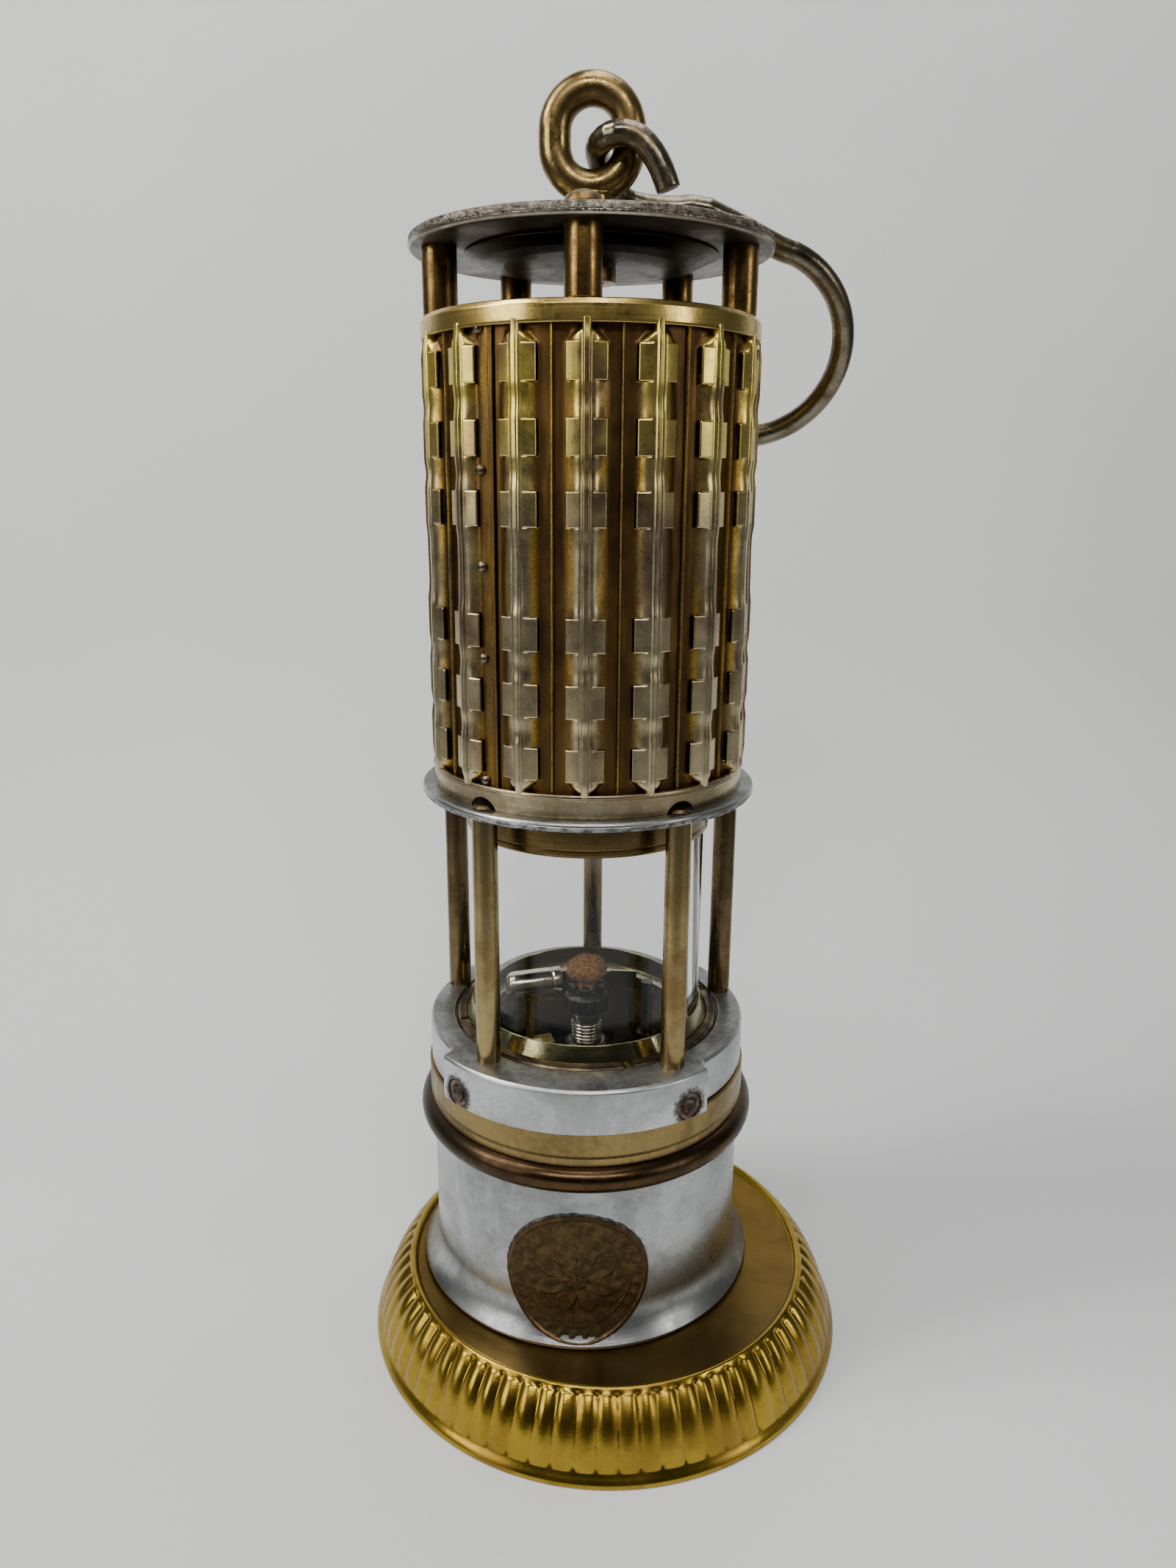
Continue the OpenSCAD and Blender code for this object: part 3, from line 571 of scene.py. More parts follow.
def glass_material():
    n = Nodes("clear_glass_mat")
    smear = n.noise(70, 5, 0.6, n.stretched(1, 1, 0.35), 1.2)
    tint = n.mix(n.mask(smear, 0.45, 0.7), (0.975, 0.985, 0.982), (0.94, 0.955, 0.95))
    n.shader.inputs["Transmission Weight"].default_value = 1.0
    n.shader.inputs["IOR"].default_value = 1.28
    ray = n.add("ShaderNodeLightPath")
    n.link(n.rest(n.times(ray.outputs["Is Shadow Ray"], 0.92)), n.shader.inputs["Alpha"])
    film = n.times(n.mask(n.noise(900, 3, 0.7), 0.6, 0.75), 0.03)
    return n.done(tint, n.plus(film, 0.003), metal=0.0)


M["clear_glass"] = glass_material()


def bonnet_material():
    """Nickel worn through to brass on the crests, amber flanks and dark valleys, told by radius. The amber on
    the flanks and valley ribs is partly the brass's colour and partly a painted highlight.
    """
    n = Nodes("bonnet_metal_mat")
    cloud = n.noise(42, 6, 0.6, n.stretched(1, 1, 0.45), 0.6)
    fine = n.noise(2600, 4, 0.72, n.stretched(1, 1, 0.5))
    tint = n.noise(70, 2, 0.5, n.stretched(1, 1, 0.6))
    lift = n.times(n.less(cloud, 0.5), 0.0011)
    out = n.plus(n.from_axis(), lift)
    olive = n.mix(n.mask(cloud, 0.40, 0.62), (0.64, 0.54, 0.33), (0.44, 0.36, 0.22))
    brass = n.mix(n.mask(cloud, 0.40, 0.62), (0.88, 0.68, 0.15), (0.62, 0.47, 0.14))
    crest = n.mix(n.mask(n.height(), 0.212, 0.246), olive, brass)
    crest = n.mix(n.times(n.mask(tint, 0.50, 0.62), 0.7), crest, (0.31, 0.20, 0.13))
    # amber patches on the flanks are partly brass colour and partly a painted highlight
    amber = n.mix(n.mask(fine, 0.45, 0.62), (0.66, 0.43, 0.07), (0.36, 0.22, 0.04))
    olive = n.mix(n.mask(fine, 0.45, 0.62), (0.36, 0.25, 0.09), (0.19, 0.13, 0.05))
    flank = n.mix(n.mask(n.noise(55, 3, 0.5, n.stretched(1, 1, 0.7), 0.5), 0.42, 0.58), amber, olive)
    valley = n.mix(n.mask(cloud, 0.35, 0.65), (0.19, 0.105, 0.032), (0.065, 0.035, 0.016))
    colour = n.mix(n.mask(out, 0.03700, 0.0379), valley, flank)
    colour = n.mix(n.mask(out, 0.0376, 0.0387), colour, crest)
    grit = n.times(n.mask(fine, 0.58, 0.70), 0.7)
    colour = n.mix(grit, colour, (0.06, 0.04, 0.022))
    marks = n.noise(260, 4, 0.6)
    base = n.less(0.42, n.times(n.mask(out, 0.0370, 0.0388), 0.13))
    roughness = n.plus(base, n.times(n.less(marks, 0.5), 0.24), clamp=True)
    normal = n.bump(cloud, 0.0006, 0.3)
    normal = n.bump(marks, 0.00004, 0.6, normal)
    normal = n.bump(fine, 0.00003, 0.4, normal)
    return n.done(colour, roughness, normal)


M["bonnet_metal"] = bonnet_material()

# every CAD node that stays in sight takes the material of its own slot
for part in frame["record"]["subparts"]:
    node = frame["nodes"].get(part["node"])
    if node is not None:
        node.data.materials.clear()
        node.data.materials.append(M[part["material_slot"]])
        shade(node, 30)

# ---- heights and radii of the lamp ----

shell_z, shell_top = low("fount_shell").z, high("fount_shell").z
seat = high("foot_stand").z - 1.6
bead_z = middle("fount_bead").z
bead_r = (high("fount_bead").z - low("fount_bead").z) / 2
collar_z = low("fount_collar").z
ring_z, ring_top = low("lower_ring").z, high("lower_ring").z
gallery_z, gallery_top = gallery_low, high("gallery_plate").z
bonnet_z, bonnet_top = low("bonnet").z, high("bonnet_lid").z
crown_z, crown_top = crown_low, PLATE_TOP
boss_top = high("crown_plate").z
foot_r = radius("fount_shell")
fount_r = radius("fount_bead") - bead_r
collar_r = radius("fount_collar")
glass_r = radius("glass")
ring_r = min(high("lower_ring").x - AXIS.x, 41.9)
POSTS = [radians(36 + 72 * k) for k in range(5)]
TOP_POSTS = [radians(72 * k) for k in range(5)]
LOWER_PCR = 38.3
UPPER_PCR = 34.8
FLARE = 10.0


def at(angle, r, z=0.0):
    return Vector((r * sin(angle), -r * cos(angle), z))


def rough_edge(seed, size, from_z, to_z, from_r, count=3):
    """A warp that breaks up the rim between two heights, as a badly filed edge is."""
    random.seed(seed)
    waves = [(random.randint(60, 420), random.uniform(0, 6.28), random.uniform(0.4, 1))
             for _ in range(count * 6)]

    def warp(r, angle, z):
        if r < from_r or not from_z <= z <= to_z:
            return r, z
        shake = sum(sin(k * angle + p + z * 9) * a for k, p, a in waves) / (count * 2)
        lump = noise.noise(Vector((angle * 14, z * 2, seed)))
        return r + size * min(0.2, shake * 0.5 + lump * 0.8 - 0.25), z + size * 0.35 * shake
    return warp


def bake(obj):
    """Puts what the modifiers make into the mesh itself."""
    bpy.context.view_layer.update()
    old, name = obj.data, obj.name
    fresh = bpy.data.meshes.new_from_object(obj.evaluated_get(bpy.context.evaluated_depsgraph_get()))
    obj.modifiers.clear()
    obj.data = fresh
    bpy.data.meshes.remove(old)
    fresh.name = name


def cut(obj, *cutters):
    """Takes the cutters out of a piece and removes them."""
    for cutter in cutters:
        step = obj.modifiers.new("cut", "BOOLEAN")
        step.operation = "DIFFERENCE"
        step.solver = "EXACT"
        step.object = cutter
    bake(obj)
    for cutter in cutters:
        bpy.data.objects.remove(cutter)
    shade(obj)


def from_shape(name, shape):
    """An object from a bmesh, which is freed."""
    mesh = bpy.data.meshes.new(name)
    shape.to_mesh(mesh)
    shape.free()
    return add_object(name, mesh)


def plug(centre, direction, r, length, sides=48):
    """A plain cylinder to cut with, from centre along direction, in millimetres on the lamp's axis."""
    shape = bmesh.new()
    bmesh.ops.create_cone(shape, cap_ends=True, segments=sides, radius1=r * MM, radius2=r * MM,
                          depth=length * MM)
    turn = Vector(direction).to_track_quat("Z", "Y").to_matrix().to_4x4()
    place = Matrix.Translation((Vector(centre) + AXIS) * MM) @ turn
    place = place @ Matrix.Translation((0, 0, length * MM / 2))
    bmesh.ops.transform(shape, matrix=place, verts=shape.verts)
    return from_shape("plug", shape)


def ball(centre, r):
    """A sphere to cut with."""
    shape = bmesh.new()
    bmesh.ops.create_uvsphere(shape, u_segments=40, v_segments=24, radius=r * MM)
    bmesh.ops.translate(shape, vec=(Vector(centre) + AXIS) * MM, verts=shape.verts)
    return from_shape("ball", shape)


def quads(rows, count, closed=False):
    """Faces of points numbered row by row; each row is a ring, and closed joins the last row to the first."""
    faces = []
    for i in range(rows if closed else rows - 1):
        j = (i + 1) % rows
        for k in range(count):
            m = (k + 1) % count
            faces.append([i * count + k, i * count + m, j * count + m, j * count + k])
    return faces


def smooth(t):
    t = max(0.0, min(1.0, t))
    return t * t * (3 - 2 * t)


def placed(profile, centre, direction, segments=32):
    """Points and faces of a lathe stood at a place and turned to a direction."""
    verts, faces = lathe_mesh(rounded(profile), segments)
    turn = Vector(direction).to_track_quat("Z", "Y").to_matrix()
    return [turn @ Vector(v) + Vector(centre) for v in verts], faces


def upright(profile, angle, r, segments=48):
    """Points and faces of a turned post that stands at an angle and a distance from the axis."""
    points, cells = lathe_mesh(rounded(profile), segments)
    return [Vector(p) + at(angle, r) for p in points], cells


def several(name, shapes, body, slot, stands_for=(), look=None, sharp=32):
    """One piece from several (points, faces) pairs."""
    verts, faces = [], []
    for more, cells in shapes:
        start = len(verts)
        verts += list(more)
        faces += [[start + i for i in cell] for cell in cells]
    return make(name, verts, faces, body, slot, stands_for, look, sharp=sharp)


# ---- stand ----

FLUTES = 73


def stand_piece():
    lip_r = radius("foot_stand")
    fold_r, fold_z = lip_r - 1.6, 3.2
    top_r, top_z = RIDGE_R + 1.0, seat + 0.4
    knee_r, knee_z = fold_r - 2.3, seat - 4.7
    outer = [(0.0, seat, 0),
             *near(RIDGE_R, seat, (-1.6, 0, 0), (-1.0, 0.25, 0), (-0.75, 1.0, 0), (-0.35, 1.5, 0),
                   (0.2, 1.6, 0), (0.75, 1.25, 0))]
    for i in range(31):
        t = i / 30
        a, b, c = (1 - t) ** 2, 2 * t * (1 - t), t * t
        outer.append((a * top_r + b * knee_r + c * fold_r, a * top_z + b * knee_z + c * fold_z, t + 1e-6))
    outer += [(fold_r + 0.15, fold_z - 0.25, 0), (fold_r + 0.7, fold_z - 1.0, 0), (lip_r - 0.25, 1.4, 0),
              (lip_r, 0.8, 0), (lip_r, 0.25, 0), (lip_r - 0.2, 0.0, 0)]
    sheet = 0.8
    inner = [(lip_r - 1.0, 0.0, 0), (lip_r - 1.1, 0.6, 0), (fold_r - 0.9, fold_z - 0.6, 0),
             (knee_r - 2.0, knee_z - 1.6, 0), (RIDGE_R - 0.6, seat - sheet, 0), (0.0, seat - sheet, 0)]
    profile = outer + inner
    slope = {(r, z): t for r, z, t in profile if t > 0}

    def fluted(r, angle, z):
        t = slope.get((r, z), 0)
        if t <= 0:
            return r, z
        own = noise.noise(Vector((cos(angle) * 11, sin(angle) * 11, t * 0.8)))
        phase = (FLUTES * angle / (2 * pi) + own * 0.12) % 1.0
        rib = abs(sin(pi * phase)) ** 0.8
        fade = smooth((t + 0.02) / 0.05) * smooth((1 - t) / (0.04 + 0.06 * rib))
        rise = (rib - 0.62) * (0.95 + 0.25 * own) * fade * (1 - 0.25 * t)
        up = 0.75 - 0.45 * t
        return r + rise * sqrt(1 - up * up), z + rise * up

    verts, faces = lathe_mesh([(r, z) for r, z, t in profile], FLUTES * 12, fluted)
    make("stand_fluted_foot", verts, faces, "stand", "stand_brass", ("foot_stand",), centre=STAND, sharp=60)


stand_piece()

# ---- fount ----


def fount_pieces():
    outside = [(foot_r - 1.2, shell_z, 0.3), (foot_r, shell_z, 0.5), (foot_r + 0.05, shell_z + 0.9, 0.3)]
    for i in range(1, 13):
        u = 1 - i / 12
        outside.append((fount_r + (foot_r - fount_r) * u * u, shell_z + 0.9 + (FLARE - 0.9) * i / 12))
    outside += [(fount_r, shell_top), (fount_r - 1.4, shell_top), (fount_r - 1.4, shell_z + FLARE),
                (foot_r - 2.2, shell_z + 1.6)]
    lathe("fount_shell_spun", outside, "fount", "fount_aluminium", ("fount_shell",), segments=256)
    bead = [(fount_r - 3, bead_z - bead_r * 0.5), (fount_r - 2.6, bead_z + bead_r * 0.6)]
    for k in range(25):
        a = radians(125 - k * 250 / 24)
        bead.append((fount_r + bead_r * cos(a), bead_z + bead_r * sin(a)))
    lathe("fount_bead_rolled", bead, "fount", "bead_brass", ("fount_bead",), segments=256)
    neck_r, neck_top = 34.45, high("fount_collar").z
    top = ring_z - 0.3
    profile = [
        *near(collar_r, collar_z, (-2, 0), (-0.1, 0, 0.3), (0, 2.2, 0.2), (-0.15, 2.6, 0.1), (0, 3, 0.2)),
        (collar_r, top, 0.5), (neck_r - 0.5, top, 0.3)]
    for i in range(6):
        z = top + 0.8 + i * 1.1
        profile += [(neck_r - 0.5, z), (neck_r, z + 0.45), (neck_r, z + 0.6), (neck_r - 0.5, z + 1.05)]
    bore = neck_r - 1.85
    profile += [(neck_r - 0.5, neck_top - 0.3), (neck_r - 0.8, neck_top), (bore, neck_top, 0.3),
                (bore, top - 3), (collar_r - 2, top - 3)]
    collar = lathe("fount_collar_turned", profile, "fount", "collar_brass", ("fount_collar",), segments=256)
    cut(collar, *[plug(at(2 * pi * k / 24, 38.5, top - 2.4), (0, 0, 1), 2.8, 4, 24) for k in range(24)])


fount_pieces()


def medallion_piece():
    """A struck disc bent to the fount's wall, with a plain made-up ornament."""
    half = (high("medallion").z - low("medallion").z) / 2 + 0.35
    mid = high("medallion").z - half
    verts = []
    rings, spokes = 74, 288

    def wall_at(z):
        u = max(0.0, min(1.0, 1 - (z - shell_z) / FLARE))
        return fount_r + (foot_r - fount_r) * u * u

    down = [(mid, 0.0)]
    while down[-1][0] > shell_z:
        z = down[-1][0] - 0.1
        down.append((z, down[-1][1] - hypot(0.1, wall_at(z) - wall_at(z + 0.1))))

    def on_wall(across, along, out):
        """The point on the fount's wall that far round and that far up from the disc's middle."""
        if along >= 0:
            z = mid + along
        else:
            spot = next((i for i, step in enumerate(down) if step[1] <= along), len(down) - 1)
            (z0, s0), (z1, s1) = down[spot - 1], down[spot]
            z = z0 + (z1 - z0) * (along - s0) / (s1 - s0)
        wall = wall_at(z)
        return at(across / wall, wall + out, z)

    def relief(rho, phi):
        t = rho / half
        h = 0.42
        h += 0.34 * exp(-((t - 0.955) / 0.022) ** 2)
        h += 0.12 * exp(-((t - 0.735) / 0.014) ** 2)
        if 0.77 < t < 0.93:
            band = sin(pi * (t - 0.77) / 0.16)
            leaf = sin(phi * 30 + 14 * (t - 0.85))
            h += 0.17 * band * max(0.0, leaf) ** 0.6
        if t < 0.70:
            petals = abs(sin(phi * 4))
            edge = 0.30 + 0.30 * petals ** 0.7
            h += 0.30 * smooth((edge - t) / 0.08) * (0.55 + 0.45 * abs(cos(phi * 4)))
            h += 0.22 * smooth((0.17 - t) / 0.04)
            h += 0.10 * sin(phi * 16) * smooth((0.66 - t) / 0.05) * smooth((t - 0.5) / 0.08)
        wear = noise.noise(Vector((rho * cos(phi) * 0.35, rho * sin(phi) * 0.35, 2.0)))
        h += 0.07 * wear + 0.035 * noise.noise(Vector((rho * cos(phi) * 1.7, rho * sin(phi) * 1.7, 5)))
        return h

    for i in range(rings + 1):
        t = i / rings
        for k in range(spokes):
            phi = 2 * pi * k / spokes
            wob = 1 + 0.012 * noise.noise(Vector((cos(phi) * 2, sin(phi) * 2, 7))) * smooth((t - 0.8) / 0.2)
            rho = half * t * wob
            x, z = rho * cos(phi), rho * sin(phi)
            h = relief(half * t, phi) if t < 0.985 else 0.4
            verts.append(on_wall(x, z, h))
    for k in range(spokes):
        phi = 2 * pi * k / spokes
        x, z = half * cos(phi), half * sin(phi)
        verts.append(on_wall(x, z, -0.15))
    make("medallion_struck", verts, quads(rings + 2, spokes), "fount", "medal_bronze", ("medallion",),
         sharp=50)

    beads = []
    count, section = 420, 8
    for k in range(count):
        phi = 2 * pi * k / count
        lump = noise.noise(Vector((cos(phi) * 9, sin(phi) * 9, 1))) * 0.5 + 0.5
        fine = noise.noise(Vector((cos(phi) * 45, sin(phi) * 45, 4))) * 0.5 + 0.5
        side = 0.35 + 0.65 * smooth((sin(phi - 0.15) + 0.25) / 0.8)
        side *= smooth((sin(phi) + 0.96) / 0.3)
        size = (0.18 + 0.42 * lump + 0.28 * fine) * side
        for j in range(section):
            a = 2 * pi * j / section
            rho = half + 0.05 + size * 1.15 * cos(a)
            x, z = rho * cos(phi), rho * sin(phi)
            out = max(0.0, size * 0.85 * sin(a)) - 0.1
            beads.append(on_wall(x, z, out))
    make("medallion_solder", beads, quads(count, section, closed=True), "fount", "fount_aluminium",
         look="solder", sharp=80)


medallion_piece()

# ---- lower ring, pillars and glass ----


def lower_ring_piece():
    """The cast ring, thicker over the pad that carries the two rivets."""
    bore, recess = 34.8, 35.5
    fillet = PAD_R - ring_r
    edge = PAD_HALF + fillet / PAD_R
    spots = {PAD_TURN + PAD_HALF, PAD_TURN - PAD_HALF, PAD_TURN + PAD_HALF + 1e-4, PAD_TURN - PAD_HALF - 1e-4}
    for k in range(18):
        gap = (edge - PAD_HALF) * (1 - cos(pi / 2 * k / 17))
        spots |= {PAD_TURN + PAD_HALF + gap, PAD_TURN - PAD_HALF - gap}
    spots |= {PAD_TURN - PAD_HALF + 2 * PAD_HALF * k / 90 for k in range(1, 90)}
    spots |= {PAD_TURN + edge + (2 * pi - 2 * edge) * k / 220 for k in range(220)}
    spots = sorted(spots)
    verts = []
    for angle in spots:
        turn = (angle - PAD_TURN + pi) % (2 * pi) - pi
        gone = (abs(turn) - PAD_HALF) * PAD_R
        if gone <= 0.001:
            out = PAD_R
        elif gone < fillet:
            out = PAD_R - sqrt(max(0.0, fillet ** 2 - (fillet - gone) ** 2))
        else:
            out = ring_r
        outline = [
            (bore, ring_z), *near(out, ring_z, (-0.5, 0), (-0.12, 0.12), (0, 0.5)),
            *near(out, ring_top, (0, -0.95), (-0.06, -0.72), (-0.55, -0.12), (-0.8, 0)),
            *near(recess, ring_top, (0.5, 0), (0.1, -0.15), (0, -0.5), (0, -1.8)),
            (bore + 0.2, ring_top - 1.8), (bore, ring_top - 2.0)]
        verts += [at(angle, r, z) for r, z in outline]
    ring = make("lower_ring_cast", verts, quads(len(spots), len(outline), closed=True), "frame",
                "ring_aluminium", ("lower_ring",))
    screw_z = middle("pad_screws").z
    cutters = [plug(at(a, PAD_R - 2.2, screw_z), at(a, 1), 3.6, 6) for a in PAD_SCREWS]
    cutters.append(plug(at(0, 38.5, ring_z - 1), (0, 0, 1), 2.53, 10.8))
    cut(ring, *cutters)
    heads = []
    for a in PAD_SCREWS:
        profile = [(0, 0), (3.58, 0), (3.58, 1.7, 0.2), (3.3, 1.95, 0.3), (2.3, 1.75, 0.3), (2.15, 1.5, 0.1),
                   (1.9, 1.6, 0.1), (1.75, 2.15, 0.2), (1.1, 2.3, 0.2), (0.95, 2.05, 0.1), (0.5, 2.0, 0.1),
                   (0.35, 2.25, 0.15), (0, 2.3)]
        heads.append(placed(profile, at(a, PAD_R - 2.2, screw_z), at(a, 1), 48))
    several("pad_rivets", heads, "frame", "steel_dark", ("pad_screws",), "rusty", sharp=40)


lower_ring_piece()

for index, angle in enumerate(POSTS):
    wall = radius("lower_pillar_1")
    foot = low("lower_pillar_1").z
    profile = [(0, foot), (wall, foot), (wall, gallery_z, 0.05), (1.9, gallery_z),
               *near(0, gallery_top, (1.9, 0), (2.75, 0, 0.2), (2.7, 0.4, 0.3), (2.0, 0.95, 0.4), (0, 1.15))]
    points, cells = upright(profile, angle, LOWER_PCR)
    # the rear pillars take the darker copy of the brass: painted shade
    tone = "pillar_brass" if cos(angle) > 0 else "pillar_brass_shaded"
    make(f"lower_pillar_rod_{index + 1}", points, cells, "frame", "pillar_brass",
         (f"lower_pillar_{index + 1}",), tone)

glass_low, glass_high = low("glass").z, high("glass").z
glass_in = glass_r - 3
lathe("glass_chimney", [(glass_in, glass_low, 0.4), (glass_r, glass_low, 0.4), (glass_r, glass_high, 0.4),
                        (glass_in, glass_high, 0.4)], "frame", "clear_glass", ("glass",), steps=6)

seat_ring = low("glass_ring_lower").z
lathe("glass_foot_ring", near(
    glass_r, seat_ring, (-2.6, 0, 0.2), (2.4, 0, 0.1), (2.4, 3.2, 0.3), (0.75, 7.15, 0.15), (0.3, 7.2, 0.15),
    (0.2, 1.4), (-2.6, 1.4, 0.2)), "frame", "ring_brass", ("glass_ring_lower",), segments=256)
glass_ring_z = low("glass_ring_upper").z
seat_z = high("glass_seat_upper").z
lathe("glass_head_ring", [
    *near(glass_r, glass_ring_z, (0.1, 0, 0.1), (0.75, 0, 0.2), (1.0, 0.5, 0.2), (1.0, 1.5, 0.2),
          (0.8, 1.8, 0.1), (0.95, 2.1, 0.1)),
    (glass_r + 0.95, gallery_z - 0.02, 0.1), (glass_r - 3, gallery_z - 0.02), (glass_r - 3, seat_z),
    (glass_r + 0.1, seat_z)], "frame", "pillar_brass", ("glass_ring_upper",), "head_ring", segments=256)
clamp_z, clamp_top = low("glass_clamp_ring").z, high("glass_clamp_ring").z
clamp_out = radius("glass_clamp_ring")
teeth = [(glass_r + 2.45, clamp_z, 0.1), (clamp_out - 0.5, clamp_z, 0.1)]
for i in range(3):
    z = clamp_z + 0.15 + i * 0.9
    teeth += near(clamp_out, z, (-0.5, 0), (0, 0.4), (0, 0.5), (-0.5, 0.88))
teeth += [(clamp_out - 0.4, clamp_top, 0.2), (glass_r + 2.45, clamp_top, 0.2)]
clamp = lathe("glass_clamp_threaded", teeth, "frame", "nickel", ("glass_clamp_ring",), "grimy_brass",
              segments=256)
notches = [radians(20 + 90 * k) for k in range(4)]
cut(clamp, *[plug(at(a, 30, clamp_top), at(a, 1), 1.5, 8, 24) for a in notches])

# ---- gallery plate and bonnet ----

gallery_r = radius("gallery_plate")
edge = []
for i in range(10):
    t = i / 9
    edge.append((gallery_r - 0.55 * (1 - t) ** 2 - (0.35 if i == 0 else 0), gallery_z + 1.25 * t))
plate = [(glass_r - 3, gallery_z), *edge, (gallery_r, gallery_z + 1.5),
         *near(gallery_r, gallery_top, (-0.12, -0.4), (-0.5, -0.08), (-1.0, 0)), (glass_r - 3, gallery_top)]
warp = rough_edge(5, 0.35, gallery_z + 0.05, gallery_z + 1.2, gallery_r - 2)
verts, faces = lathe_mesh(plate, 1080, warp)
make("gallery_disc", verts, faces, "frame", "ring_aluminium", ("gallery_plate",), "gallery", sharp=40)

band_top = high("bonnet_base_band").z
band_r = radius("bonnet_base_band")
shell_in = band_r - 1.5
band = lathe("bonnet_foot_band", [
    (shell_in, gallery_top + 0.01), (band_r - 0.5, gallery_top + 0.01, 0.1),
    (band_r - 0.35, gallery_top + 1.0, 0.3),
    *near(band_r, band_top, (-0.35, -1.3, 0.3), (0, -0.7, 0.3), (-0.15, 0, 0.3)),
    (shell_in + 0.3, band_top, 0.2), (shell_in, band_top - 0.5)],
    "frame", "nickel", ("bonnet_base_band",), "base_band", segments=256)
cut(band, *[ball(at(a, LOWER_PCR + 0.6, gallery_top - 1.6), 4.3) for a in POSTS])

COLUMNS = 16
CREST_AT = radians(1.6)
ROWS = [bonnet_top - d for d in (15.6, 30.3, 44.8, 71.1, 85.6, 99.9)]
ROW_H = 7.4
CREST_R = radius("bonnet") - 0.3
VALLEY_R = 36.9
WING = 4.5
HALF_COLUMN = pi * 39 / COLUMNS
SEAM_LEFT, SEAM_RIGHT = 14, 15


def ridge(s):
    """The thin rounded rib along a crest, with a faint groove each side of it."""
    return 0.50 * smooth((0.92 - abs(s)) / 0.42) - 0.05 * exp(-((abs(s) - 1.12) / 0.2) ** 2)


def tab_r(s):
    return CREST_R - 0.46 - 0.24 * max(0.0, abs(s) - 0.9) + ridge(s)


def low_r(s, z, column):
    """The wall between louvre rows: a narrow crest, curved flanks and a flat valley."""
    end = min(z - (bonnet_z + 1.6), (bonnet_top - 2.6) - z)
    past = max(z - (ROWS[0] + ROW_H), ROWS[-1] - z)
    narrow = max(0.0, 4.2 - 1.4 * past) if past > 0 else 9.0
    alive = smooth((narrow - abs(s) + 1.1) / 1.7) if abs(s) > 0.93 else 1.0
    alive = min(alive, smooth(end / 1.2))
    flank = 1 - smooth((abs(s) - 0.9) / 4.5)
    r = VALLEY_R + (1.95 * flank + 0.9 * ridge(s)) * alive
    r += 0.14 * noise.noise(Vector((s * 0.5 + column * 7.1, z * 0.12, column * 1.7)))
    if column == SEAM_LEFT and s > 4.0:
        r += 0.5 * smooth((s - 4.0) / 1.4)
    elif column == SEAM_RIGHT and s < -6.55:
        r += 0.5 + 0.35 * exp(-((s + 6.72) / 0.2) ** 2)
    elif not (column == SEAM_LEFT and s > 0):
        r += 0.95 * max(0.0, 1 - ((HALF_COLUMN - abs(s)) / 0.48) ** 2) * smooth(end / 2)
    return r


